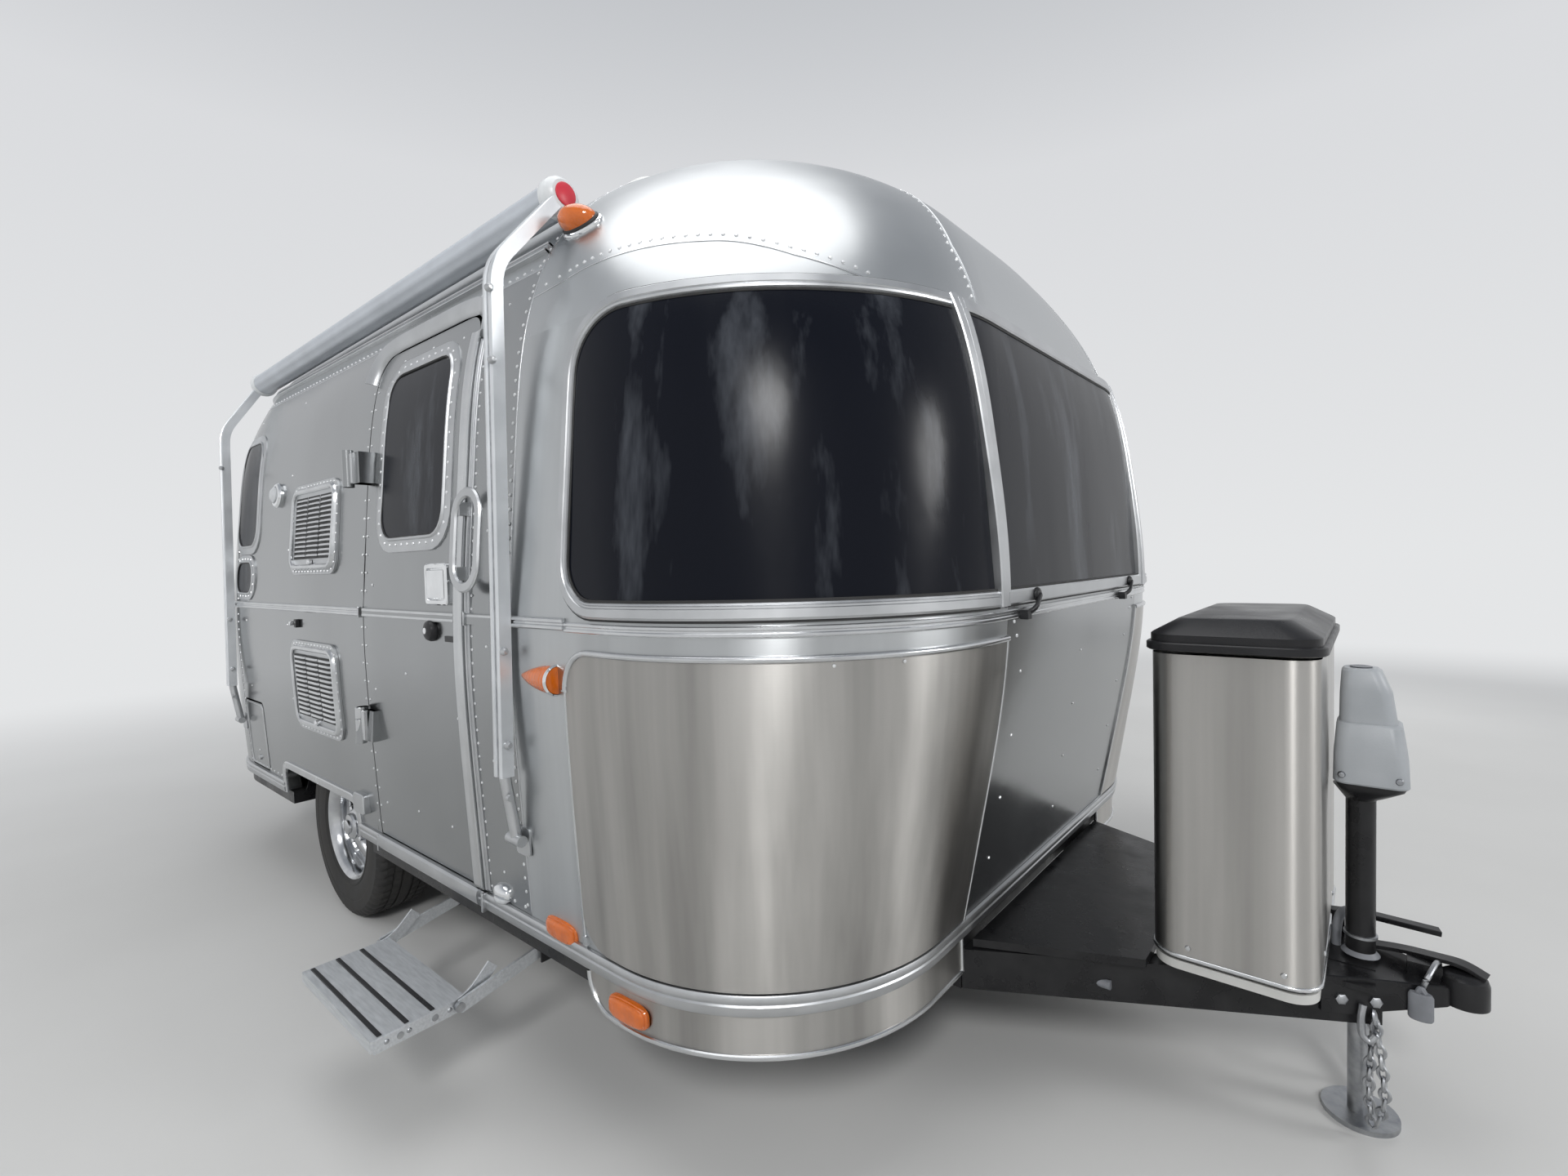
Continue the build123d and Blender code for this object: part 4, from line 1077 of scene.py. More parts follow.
class CARAVAN_OT_lamps(bpy.types.Operator):
    """Marker lamps, entry lamp, side lamp and tail lamps: lathed or domed lenses on chrome bases."""

    bl_idname = "caravan.lamps"
    bl_label = "Lamps"

    def execute(self, context):
        amber, chrome, clear, red, black = (Piece() for _ in range(5))
        for side in (-1, 1):
            # Low oval on the corner and on the skirt
            for x, z, stand in ((-0.864, 0.482, 0.0), (-0.616, 0.378, 0.003)):
                p, n = skin_side(x, max(z, 0.43), side)
                p[2] = z
                p = p + stand * n
                if z < 0.43:
                    n = unit(n * (1, 1, 0))
                dome_cap(amber, p + 0.003 * n, n, (1, 0, 0), 0.06, 0.024, 0.013, 7, 36, 0.0, 0.62)
                dome_cap(amber, p + 0.002 * n, n, (1, 0, 0), 0.064, 0.028, 0.006, 5, 36, 0.0, 0.62)
            # Bullet lamp: a ribbed half teardrop that tapers to the rear, a bright ring round its flat front
            x = np.concatenate([np.linspace(-0.955, -0.803, 34), [-0.799, -0.7965, -0.796, -0.7955, -0.795]])
            t = np.clip((x + 0.955) / 0.152, 0, 1)
            r = 0.0325 * np.sin(np.pi / 2 * t)**0.8 * (1 + 0.03 * np.cos(t * 70) * (t < 0.95)) + 0.0004
            r[-5:] = 0.032, 0.031, 0.024, 0.013, 0.002
            p, n = skin_side(x, 1.1, side)
            a = np.linspace(-0.1, np.pi + 0.1, 17)
            across, over = np.cos(a)[:, None] * np.array([0, 0, 1.0]), 0.95 * np.sin(a)[:, None]
            amber.grid(p[:, None] + r[:, None, None] * (across + over * n[:, None]), wrap_v=True, cap_u=True)
            chrome.grid(np.array([p[33] + (dx, 0, 0) + k * (across + over * n[33])
                                  for dx, k in ((-0.003, 0.033), (-0.003, 0.0362), (0.001, 0.0372),
                                                (0.005, 0.0362), (0.006, 0.033))]))
            # Clearance lamp high on the dome
            p, n = skin_side(-0.905, 2.225, side)
            dome_cap(chrome, p + 0.002 * n, n, (1, 0, 0), 0.07, 0.042, 0.012)
            dome_cap(black, p + 0.01 * n, n, (1, 0, 0), 0.064, 0.037, 0.01)
            dome_cap(amber, p + 0.018 * n, n, (1, 0, 0), 0.058, 0.033, 0.04, 8, 28, -0.012)
            p, n = skin_side(-3.62, 2.225, side)
            dome_cap(chrome, p + 0.002 * n, n, (1, 0, 0), 0.066, 0.038, 0.012)
            dome_cap(red, p + 0.01 * n, n, (1, 0, 0), 0.055, 0.03, 0.034)
            # Tail lamp clusters on the rear corners
            for lens, z in ((red, 0.86), (red, 0.72), (clear, 1.0)):
                p, n = skin_end(side * 0.92, z, -1)
                chrome.lathe(p + 0.001 * n, n, [(0, 0), (0.07, 0), (0.072, 0.012), (0.064, 0.02),
                                                (0.056, 0.016), (0, 0.012)], 36)
                lens.lathe(p + 0.01 * n, n, [(0, 0), (0.055, 0), (0.055, 0.01), (0.035, 0.022), (0, 0.026)],
                           36)
        # Entry lamp beside the door: a chrome hood over a pale lens
        p, n = skin_side(-1.137, 0.5)
        dome_cap(chrome, p + 0.002 * n, n, (1, 0, 0), 0.038, 0.024, 0.02, 8)
        dome_cap(clear, p + (0, -0.005, -0.014), n, (1, 0, 0), 0.03, 0.015, 0.018)
        # Round side lamp
        p, n = skin_side(-2.869, 1.691)
        chrome.lathe(p, n, [(0, 0), (0.05, 0), (0.052, 0.01), (0.046, 0.018), (0.036, 0.02), (0.034, 0.012),
                            (0, 0.012)], 36)
        clear.lathe(p + 0.012 * n, n, [(0, 0), (0.034, 0), (0.033, 0.012), (0.02, 0.022), (0, 0.026)], 32)
        # Rear clearance lamps on the dome's centre
        for y in (-0.12, 0.0, 0.12):
            p, n = skin_end(y, 2.4, -1)
            dome_cap(red, p + 0.002 * n, n, (0, 1, 0), 0.04, 0.018, 0.02)
        amber.make("amber_lamps", "amber", slot="black_plastic")
        chrome.make("lamp_bases", "chrome")
        clear.make("clear_lamps", "clear_lens", slot="chrome")
        red.make("red_lamps", "red_lens", slot="black_plastic")
        black.make("lamp_gaskets", "seal", slot="black_plastic")
        return {"FINISHED"}


class CARAVAN_OT_vents(bpy.types.Operator):
    """Two louvred vents: a raised rim, three columns of thirteen hoods over dark slots, rivets and a knob.

    A hood is a strip of quarter-round section, open below, with ends that fall to the plate.
    """

    bl_idname = "caravan.vents"
    bl_label = "Louvred vents"

    def execute(self, context):
        light, dark, rivets = Piece(), Piece(), Piece()
        for z0, z1 in ((1.36, 1.705), (0.755, 1.105)):
            lift = 0.0086 if z0 > 1 else 0.0115
            rim = [(-0.01, 0.004), (-0.01, 0.014), (-0.006, 0.018), (0.004, 0.018), (0.01, 0.01),
                   (0.012, 0.004)]
            p, n = outline_on_skin(VENT_REAR + 0.026, VENT_FRONT - 0.026, z0 + 0.026, z1 - 0.026, 0.04, -1)
            light.sweep(p, n, rim, closed=True)
            p, n = outline_on_skin(
                VENT_REAR + 0.01, VENT_FRONT - 0.01, z0 + 0.01, z1 - 0.01, 0.055, -1, 0.034)
            rivets.domes(p + 0.008 * n, n, *SMALL_RIVET)
            span = (VENT_FRONT - VENT_REAR - 0.116) / 3
            for k in range(3):
                a = VENT_REAR + 0.052 + k * (span + 0.006)
                b = a + span
                rows = np.linspace(z1 - 0.064, z0 + 0.07, context.scene.caravan_sizes.louvre_rows)
                x = np.linspace(a, b, 9)
                q0, n = skin_side(x, rows[-1] - 0.012)
                q1, _ = skin_side(x, rows[0] + 0.012)
                dark.grid(np.stack([q0 + lift * n, q1 + lift * n]))
                swell = np.clip(np.minimum(x - a, b - x) / 0.01, 0, 1)**0.5
                for z in rows:
                    hood = []
                    for up, out in ((0.0052, 0.0088), (0.0046, 0.0112), (0.001, 0.0136), (-0.003, 0.014),
                                    (-0.0036, 0.0128), (-0.002, 0.0092)):
                        q, m = skin_side(x, z + up)
                        hood.append(q + (lift + (out - 0.0086) * swell)[:, None] * m)
                    light.grid(np.array(hood))
            p, n = skin_side((VENT_REAR + VENT_FRONT) / 2, z0 + 0.045)
            rivets.lathe(p + 0.008 * n, n, [(0.01, 0), (0.01, 0.01), (0.007, 0.014), (0, 0.015)], 14)
        light.make("vent_louvres", "bright_trim", slot="trim", solid=False)
        dark.make("vent_slots", "seal", slot="black_plastic", solid=False)
        rivets.make("vent_rivets", "rivet", slot="trim", solid=False)
        return {"FINISHED"}


class CARAVAN_OT_door(bpy.types.Operator):
    """Door fittings: hinges, fluted latch, round lock, grab handle, jamb strips and the drip cap over it."""

    bl_idname = "caravan.door"
    bl_label = "Door fittings"

    def execute(self, context):
        chrome, trim, rivets, door_rivets, black, fixed = (Piece() for _ in range(6))
        for z in (1.7, 0.857):
            c = np.array([DOOR_REAR - 0.004, -1.244, z])
            for a, b in ((-0.06, -0.022), (-0.02, 0.02), (0.022, 0.06)):
                trim.lathe(c, (0, 0, 1), [(0, a), (0.0125, a), (0.0145, a + 0.002), (0.0145, b - 0.002),
                                          (0.0125, b), (0, b)], 24)
            leaf = np.array([(-0.003, 0.0145), (0.009, 0.01), (0.015, 0.006), (0.025, 0.005), (0.031, 0.003),
                             (0.032, -0.006)])
            h = np.array([-0.05, -0.047, 0.047, 0.05])
            inset = np.array([0.003, 0.0, 0.0, 0.003])
            trim.grid(np.stack([np.stack([c[0] + leaf[:, 0], c[1] - leaf[:, 1] + i + 0.0035,
                                          np.full(len(leaf), z + s)], -1)
                                for s, i in zip(h, inset)]))
            fixed.box(c + (-0.015, 0.008, -0.046), c + (-0.005, 0.03, 0.046))
        # Latch: bezel with a paddle of upright flutes
        y = -1.224
        latch = Piece()
        latch.stack([[(px, y + dy, pz)
                      for px, pz in rounded_rect(LATCH_REAR + i, LATCH_FRONT - i, 1.2645 + i, 1.3795 - i,
                                                 0.01, 5)]
                     for dy, i in ((0.045, -0.001), (-0.002, -0.001), (-0.005, 0.002), (-0.005, 0.012),
                                   (0.001, 0.014))])
        latch.make("door_latch_plate", "chrome", "door", "chrome", replaces=("door_latch",))
        x = np.linspace(LATCH_REAR + 0.016, LATCH_FRONT - 0.016, 49)
        flute = -1.2285 - 0.004 * np.abs(np.sin(np.linspace(0, np.pi * 6, 49)))
        chrome.grid(np.stack([np.stack([x, flute + d, np.full_like(x, z)], -1)
                              for z, d in ((1.281, 0.008), (1.283, 0.0), (1.361, 0.0), (1.363, 0.008))]))
        # Lock
        p, n = skin_side(-1.425, 1.19)
        black.lathe(p + 0.0005 * n, n, [(0, 0), (0.031, 0), (0.031, 0.006), (0.026, 0.016), (0.015, 0.021),
                                        (0, 0.022)], 32)
        chrome.lathe(p + 0.02 * n, n, [(0, 0), (0.009, 0), (0.009, 0.004), (0, 0.005)], 20)
        p, n = skin_side(-1.314, 1.17)
        black.box(p - (0.03, 0.004, 0.008), p + (0.03, 0.002, 0.008))
        # Grab handle: a flat ring on short posts, on a pale backing strip
        ring = spread(rounded_rect(-1.24, -1.112, 1.312, 1.56, 0.062, 9), 0.012, closed=True)
        p, n = skin_side(ring[:, 0], ring[:, 1])
        fixed.sweep(p + 0.032 * n, n, [(-0.013, -0.004), (-0.014, 0.0), (-0.01, 0.005), (0.01, 0.005),
                                       (0.014, 0.0), (0.013, -0.004)], closed=True)
        for z in (1.35, 1.522):
            p, n = skin_side(-1.226, z)
            fixed.box(p - (0.012, 0.032, 0.018), p + (0.012, 0.002, 0.018))
        # Jamb strip before the door and edge bead on the door, both riveted
        z = np.linspace(0.485, 1.985, 60)
        p, n = skin_side(-1.214, z)
        fixed.sweep(p, n, band(0.02, 0.0035, 0.001, 0.002))
        fixed.sweep(p - (0.008, 0, 0), n, half_round(0.0045, 6) + (0, 0.003))
        z = np.arange(0.5, 1.98, 0.036)
        rivets.domes(*skin_side(-1.196, z), *SMALL_RIVET)
        z = np.linspace(0.49, 2.01, 60)
        p, n = skin_side(DOOR_FRONT + 0.001, z)
        trim.sweep(p + 0.0105 * n, n, [(-0.024, -0.003), (-0.024, 0.0015), (-0.018, 0.003), (-0.01, 0.001),
                                       (0.012, 0.001), (0.018, 0.003), (0.024, 0.0015), (0.024, -0.003)])
        z = np.arange(0.52, 2.0, 0.045)
        door_rivets.domes(*skin_side(DOOR_FRONT - 0.036, z), *SMALL_RIVET)
        z = np.arange(0.52, 2.0, 0.06)
        door_rivets.domes(*skin_side(DOOR_REAR + 0.014, z), *SMALL_RIVET)
        rivets.domes(*skin_side(DOOR_REAR - 0.018, z), *SMALL_RIVET)
        odd = np.array([(-1.86, 1.32), (-1.62, 1.05), (-1.62, 0.62), (-1.86, 0.98), (-1.4, 0.62),
                        (-1.3, 0.95), (-1.86, 0.6), (-1.55, 2.035), (-1.75, 2.035), (-1.35, 2.02)])
        door_rivets.domes(*skin_side(odd[:, 0], odd[:, 1]), 0.0045, 0.0028)
        z = np.linspace(0.49, 1.995, 50)
        p, n = skin_side(DOOR_REAR - 0.003, z)
        black.sweep(p - 0.002 * n, n, band(0.005, 0.001, 0.0003, 0.004))
        # Drip cap: a quarter-round hood over the door
        line = [(-1.962, 1.99), (-1.952, 2.052), (-1.905, 2.094), (-1.8, 2.104), (-1.38, 2.104),
                (-1.262, 2.092), (-1.214, 2.05), (-1.205, 1.99)]
        hood = np.array([(0.02, 0.0005), (0.018, 0.008), (0.01, 0.018), (-0.004, 0.026), (-0.018, 0.03),
                         (-0.022, 0.028), (-0.02, 0.022), (-0.006, 0.016), (0.006, 0.004), (0.008, 0.0005)])
        fixed.sweep(*path_on_skin(line, -1, 0.04, 0.02), hood * (1, 0.9))
        chrome.make("door_chrome", "chrome", "door", "chrome")
        trim.make("door_edge_trim", "bright_trim", "door", "trim")
        door_rivets.make("door_rivets", "rivet", "door", "skin", solid=False)
        black.make("door_black", "black_plastic", "door", "black_plastic")
        rivets.make("jamb_rivets", "rivet", "body", "skin", solid=False)
        fixed.make("door_surround", "trim", "body", "trim")
        return {"FINISHED"}


class CARAVAN_OT_side_fittings(bpy.types.Operator):
    """Small fittings of the side walls: awning rail, catches, hatch trims, fridge vents and inlets."""

    bl_idname = "caravan.side_fittings"
    bl_label = "Side fittings"

    def execute(self, context):
        trim, black, chrome = Piece(), Piece(), Piece()
        x = np.linspace(-3.46, -1.02, 60)
        for z, w, h in ((2.196, 0.03, 0.01), (2.186, 0.006, 0.014), (2.206, 0.006, 0.014)):
            trim.sweep(*skin_side(x, z), band(w, h, 0.002, 0.002))
        p, n = skin_side(-2.591, 1.17)
        black.box(p - (0.012, 0.012, 0.016), p + (0.012, 0.001, 0.016))
        chrome.lathe(p + 0.01 * n + (-0.02, 0, 0), n, [(0, 0), (0.008, 0), (0.008, 0.014), (0, 0.016)], 16)
        p, n = skin_side(-2.067, 0.56)
        trim.stack([[(p[0] + a, p[1] - d, p[2] + b)
                     for a, b in rounded_rect(-0.045 + i, 0.045 - i, -0.034 + i, 0.034 - i, 0.01, 4)]
                    for d, i in ((-0.004, 0), (0.018, 0), (0.022, 0.003))])
        for x0, x1, z0, z1, side, body in ((-3.43, -3.168, 0.485, 0.785, -1, "hatch_curb"),
                                           (-1.7, -1.25, 0.485, 0.76, 1, "hatch_street")):
            rim = Piece()
            rim.sweep(*outline_on_skin(x0 + 0.006, x1 - 0.006, z0 + 0.006, z1 - 0.006, 0.016, side),
                      half_round(0.004, 6, 0.002), closed=True)
            p, n = skin_side((x0 + x1) / 2, z0 + 0.04, side)
            rim.lathe(p, n, [(0, 0), (0.012, 0), (0.012, 0.005), (0.008, 0.007), (0, 0.007)], 18)
            rim.make(f"{body}_trim", "trim", body, "trim")
        # Street side: fridge vents, water and power inlets
        for x0, x1, z0, z1 in ((-2.66, -2.2, 1.4, 1.66), (-2.66, -2.2, 0.78, 1.08)):
            trim.sweep(*outline_on_skin(x0, x1, z0, z1, 0.03, 1), band(0.03, 0.01, 0.003, 0.003), closed=True)
            for z in np.linspace(z0 + 0.03, z1 - 0.03, 9):
                x = np.linspace(x0 + 0.02, x1 - 0.02, 8)
                trim.sweep(
                    *skin_side(x, z, 1), [(-0.011, -0.001), (-0.011, 0.012), (0.008, 0.001), (0.008, -0.001)])
        for x, z, r in ((-3.2, 0.62, 0.045), (-3.05, 0.62, 0.03), (-1.12, 0.66, 0.05)):
            p, n = skin_side(x, z, 1)
            chrome.lathe(p, n, [(0, 0), (r, 0), (r, 0.008), (0.8 * r, 0.014), (0, 0.015)], 28)
        trim.make("side_trims", "trim")
        black.make("side_black", "black_plastic", bevel=0.002)
        chrome.make("side_chrome", "chrome")
        return {"FINISHED"}


class CARAVAN_OT_awning(bpy.types.Operator):
    """Awning: a fluted roller, white end caps with a plain red disc, its two channelled arms and their feet.

    The roller's radius at the angle w is 45.5 mm + 1.2 mm * cos 9w.
    """

    bl_idname = "caravan.awning"
    bl_label = "Awning"

    def execute(self, context):
        tube, caps, arms, disc, dark, trim = (Piece() for _ in range(6))
        a = np.array([-1.03, -1.03, 2.33])
        b = np.array([-3.436, -1.066, 2.274])
        axis = unit(b - a)
        e1 = unit(np.cross(axis, (0, 0, 1)))
        e2 = np.cross(axis, e1)
        w = turns(72)
        r = 0.0455 + 0.0012 * np.cos(9 * w)
        ring = r[:, None] * (np.cos(w)[:, None] * e1 + np.sin(w)[:, None] * e2)
        tube.grid(np.stack([p + ring for p in (a, b)]), wrap_v=True, cap_u=True)
        tube.make("awning_tube", "awning", replaces=("awning_roller",))
        for c, s in ((a, -1), (b, 1)):
            caps.lathe(c, s * axis, [(0, -0.004), (0.047, -0.004), (0.0525, 0.004), (0.0535, 0.022),
                                     (0.049, 0.04), (0.038, 0.05), (0, 0.054)], 40)
            disc.lathe(c + s * 0.052 * axis, s * axis, [(0, 0), (0.03, -0.003), (0.03, 0.002), (0.027, 0.004),
                                                        (0, 0.0045)], 32)
        for x, y0, z0, bend_z in ((-1.0, -1.03, 2.332, 2.095), (-3.466, -1.062, 2.276, 2.03)):
            path = bent([(x, y0 - 0.012, z0 - 0.012), (x, -1.228, bend_z), (x, -1.252, 0.85)], 0.05)
            normal = np.cross(unit(np.gradient(path, axis=0)), (1, 0, 0))
            outer = np.array([(-0.0205, -0.0155), (-0.0205, 0.0155), (-0.0175, 0.0175), (-0.009, 0.0175),
                              (-0.007, 0.013), (0.007, 0.013), (0.009, 0.0175), (0.0175, 0.0175),
                              (0.0205, 0.0155), (0.0205, -0.0155)])
            arms.sweep(path, normal, outer)
            dark.sweep(
                path[2:], normal[2:], [(-0.006, 0.0125), (-0.006, 0.0138), (0.006, 0.0138), (0.006, 0.0125)])
            low = bent([(x, -1.251, 0.9), (x, -1.251, 0.85), (x, -1.226, 0.69)], 0.05)
            trim.tube(low, 0.014, (1, 0, 0))
            for z in (2.03, 1.86, 1.16, 0.93):
                if z < bend_z:
                    trim.lathe((x + 0.019, -1.252, z), (1, 0, 0),
                               [(0, 0), (0.01, 0), (0.01, 0.008), (0.006, 0.016), (0, 0.017)], 14)
            p, _ = skin_side(x, 0.675)
            trim.stack([[(p[0] + i, p[1] - d, p[2] + j)
                         for i, j in rounded_rect(-0.031, 0.031, -0.036, 0.036, 0.01, 4)]
                        for d in (0.001, 0.006)])
            trim.lathe((x - 0.03, -1.228, 0.685), (1, 0, 0), [(0, 0), (0.014, 0), (0.014, 0.06), (0, 0.06)],
                       16)
            trim.lathe((x + 0.016, -1.252, 0.8), (1, 0, 0), [(0, 0), (0.008, 0), (0.008, 0.012), (0, 0.012)],
                       12)
        caps.make("awning_caps", "white_plastic", slot="trim")
        arms.make("awning_arms", "arm_metal", slot="trim", replaces=("awning_arm_front", "awning_arm_rear"))
        disc.make("awning_discs", "red_disc", slot="trim")
        dark.make("awning_channels", "zinc", slot="trim")
        trim.make("awning_feet", "trim")
        return {"FINISHED"}


def chain(piece, path, size, wire):
    """Chain links along a path: stadium loops of round wire, every other one turned by a right angle."""
    at = spread(np.asarray(path, float), size * 0.66)
    step = unit(np.gradient(at, axis=0))
    w = turns(16)
    v = turns(6)
    long_half = size / 2 - wire
    for k, (c, d) in enumerate(zip(at, step)):
        e = unit(np.cross(d, (0.2, 1.0, 0.1) if k % 2 else (1.0, -0.2, 0.1)))
        f = np.cross(d, e)
        loop = (long_half * np.cos(w))[:, None] * d * (1 + 0.12 * np.cos(2 * w))[:, None]
        loop = loop + (0.62 * long_half * np.sin(w))[:, None] * e
        out = unit(loop)
        p = c + loop[:, None] + wire * (
            np.cos(v)[None, :, None] * out[:, None] + np.sin(v)[None, :, None] * f)
        piece.grid(p, wrap_u=True, wrap_v=True)


class CARAVAN_OT_tongue(bpy.types.Operator):
    """Tongue fittings: bottle cover's trim and lid, jack head and collar, coupler, padlock, chains and hose.

    Lid, head and coupler are outlines stacked up in height, each a little wider or narrower than the last.
    """

    bl_idname = "caravan.tongue"
    bl_label = "Tongue and jack"

    def execute(self, context):
        light, black, zinc, dark = Piece(), Piece(), Piece(), Piece()
        plan = spread(rounded_rect(0.24, 0.562, -0.335, 0.335, 0.06, 8), 0.02, closed=True)
        path = level(plan, 0.428)
        out = level(plan - np.clip(plan, (0.3, -0.275), (0.502, 0.275)), 0.0)
        light.sweep(path, unit(out), half_round(0.005, 7), closed=True)
        for x, y in ((0.32, -0.3355), (0.5, -0.3355), (0.32, 0.3355), (0.5, 0.3355)):
            light.domes([(x, y, 0.452)], [(0, np.sign(y), 0)], 0.007, 0.004, 10)
        for y in (-0.18, 0.18):
            light.domes([(0.5625, y, 0.452)], [(1, 0, 0)], 0.007, 0.004, 10)
        light.make("cover_trim", "bright_trim", slot="trim")
        # Two-tier lid of the cover
        lid = Piece()
        lid.stack([level(rounded_rect(0.401 - a, 0.401 + a, -b, b, r, 8), z)
                   for a, b, r, z in ((0.168, 0.342, 0.061, 1.1315), (0.173, 0.347, 0.066, 1.1345),
                                      (0.173, 0.347, 0.066, 1.149), (0.17, 0.344, 0.063, 1.1515),
                                      (0.164, 0.338, 0.06, 1.152), (0.164, 0.338, 0.06, 1.169),
                                      (0.159, 0.333, 0.056, 1.173), (0.112, 0.286, 0.044, 1.202),
                                      (0.106, 0.28, 0.04, 1.2045))])
        lid.make("cover_lid", "black_plastic", "lid", "black_plastic", replaces=("bottle_lid",))
        # Jack head in two tiers on a tapered collar
        head, collar = Piece(), Piece()
        head.stack([level(rounded_rect(HEAD_X + c - a, HEAD_X + c + a, -b, b, r, 8), z)
                    for c, a, b, r, z in ((0, 0.066, 0.063, 0.023, 0.811), (0, 0.069, 0.066, 0.026, 0.815),
                                          (-0.001, 0.067, 0.063, 0.026, 0.88),
                                          (-0.003, 0.06, 0.057, 0.026, 0.946),
                                          (-0.004, 0.056, 0.053, 0.024, 0.951),
                                          (-0.005, 0.053, 0.049, 0.024, 0.952),
                                          (-0.009, 0.048, 0.045, 0.024, 1.02),
                                          (-0.017, 0.037, 0.039, 0.022, 1.07),
                                          (-0.018, 0.031, 0.034, 0.02, 1.076))])
        head.make("jack_cover", "jack_cover", replaces=("jack_head",))
        turn = np.linspace(0, np.pi / 2, 8)
        turn = np.concatenate([turn + k * np.pi / 2 for k in range(4)])
        ring = np.column_stack([np.cos(turn), np.sin(turn)])
        block = rounded_rect(-0.064, 0.064, -0.061, 0.061, 0.024, 8)
        collar.stack([level((1 - t) * (ring * 0.031 + (JACK_X, 0)) + t * (block + (HEAD_X, 0)), z)
                      for t, z in ((0.0, 0.768), (0.25, 0.776), (0.6, 0.789), (0.92, 0.801), (1.0, 0.8105))])
        collar.make("jack_collar", "frame_paint")
        # Pressed coupler channel with a ball socket at its nose
        nose = Piece()
        plan = np.array([(0.553, 0.149), (0.665, 0.092), (0.776, 0.0435), (0.776, -0.0435), (0.665, -0.092),
                         (0.553, -0.149)])
        plan = spread(plan, 0.01, closed=True)
        under = 0.3 + 0.044 * np.clip((plan[:, 0] - 0.61) / 0.17, 0, 1)
        middle = np.array([0.64, 0.0])
        nose.stack([np.column_stack([middle + (plan - middle) * k, under * w + z * (1 - w)])
                    for k, w, z in ((1.0, 1.0, 0.3), (1.0, 0.0, 0.377), (0.985, 0.0, 0.383),
                                    (0.955, 0.0, 0.385))])
        nose.lathe((0.8, 0, 0.37), (0, 0, 1), [(0, 0.008), (0.0299, 0.008), (0.0299, -0.028),
                                               (0.0435, -0.028), (0.0435, 0.02), (0.04, 0.031), (0.03, 0.038),
                                               (0, 0.04)], 36)
        nose.make("coupler_channel", "frame_paint", replaces=("coupler",))
        # Jack: ring at the top of its tube, weld at the foot, plug and screws of the head
        zinc.lathe((JACK_X, 0, 0.4405), (0, 0, 1), [(0.028, -0.004), (0.0325, -0.003), (0.0325, 0.003),
                                                    (0.028, 0.004)], 32)
        dark.lathe((JACK_X, 0, 0.395), (0, 0, 1), [(0.028, 0), (0.037, 0.0), (0.031, 0.007), (0.028, 0.01)],
                   32)
        dark.lathe((JACK_X, 0, 1.0765), (0, 0, 1), [(0, 0.0), (0.02, 0.0), (0.022, 0.002), (0.018, 0.003),
                                                    (0, 0.001)], 28)
        for x, y in ((0.588, -0.0655), (0.69, -0.0655), (0.588, 0.0655), (0.69, 0.0655)):
            zinc.domes([(x, y, 0.832)], [(0, np.sign(y), 0.05)], 0.008, 0.005, 10)
        # Lever and latch on the coupler
        path = bent([(0.64, 0.046, 0.402), (0.7, 0.04, 0.412), (0.8, 0.01, 0.424), (0.838, 0.0, 0.408)], 0.03)
        black.sweep(path, (0, 0, 1), band(0.034, 0.004, 0.001, 0.004))
        black.sweep(path + (0, 0.016, -0.008), (0, 1, 0), band(0.018, 0.002, 0.0005, 0.002))
        black.box((0.705, -0.02, 0.384), (0.765, 0.02, 0.412))
        # Handle bar that lies behind the tube
        path = bent([(0.56, 0.118, 0.432), (0.64, 0.15, 0.43), (0.77, 0.175, 0.416)], 0.02)
        black.sweep(path, (0, 0, 1), band(0.03, 0.006, 0.002, 0.006))
        black.box((0.556, 0.1, 0.384), (0.59, 0.135, 0.434))
        # Bolts on the coupler's sides
        for x, y in ((0.59, 0.131), (0.65, 0.101)):
            for side in (-1, 1):
                n = unit(np.array([0.455, side * 0.89, 0.0]))
                zinc.lathe(np.array([x, side * y, 0.335]), n,
                           [(0, -0.004), (0.013, -0.004), (0.013, 0.004), (0.009, 0.007), (0, 0.008)], 6)
        # Padlock, its shackle through the lever
        shackle = bent([(0.728, -0.06, 0.372), (0.735, -0.078, 0.404), (0.752, -0.03, 0.425),
                        (0.76, 0.02, 0.41)], 0.03)
        zinc.tube(shackle, 0.0055, (0.3, 0.3, 1), 10)
        dark.stack([[(0.7265 + 0.022 * np.cos(t) * k, -0.076 + 0.012 * np.sin(t) * k, z) for t in turns(20)]
                    for z, k in ((0.312, 0.9), (0.316, 1.0), (0.366, 1.0), (0.372, 0.85))])
        dark.tube(bent([(0.72, -0.076, 0.366), (0.726, -0.077, 0.385), (0.733, -0.076, 0.372)], 0.01), 0.006,
                  (0, 1, 0), 8)
        # Safety chains from the frame, with a hook on the outer one
        for y, drop, bulge in ((-0.105, 0.235, 0.02), (-0.085, 0.255, -0.01), (0.105, 0.23, 0.02)):
            x = 0.648 if y < 0 else 0.62
            line = [(x, y, 0.3), (x + bulge * 0.6, y - 0.006, 0.22), (x + bulge, y - 0.01, 0.12),
                    (x + 0.4 * bulge, y, 0.3 - drop)]
            chain(zinc, bent(line, 0.06), context.scene.caravan_sizes.link_length, 0.0042)
        hook = bent([(0.628, -0.118, 0.33), (0.624, -0.124, 0.302), (0.626, -0.126, 0.262),
                     (0.64, -0.124, 0.25), (0.65, -0.12, 0.268)], 0.02)
        zinc.tube(hook, 0.0075, (0, 1, 0), 10)
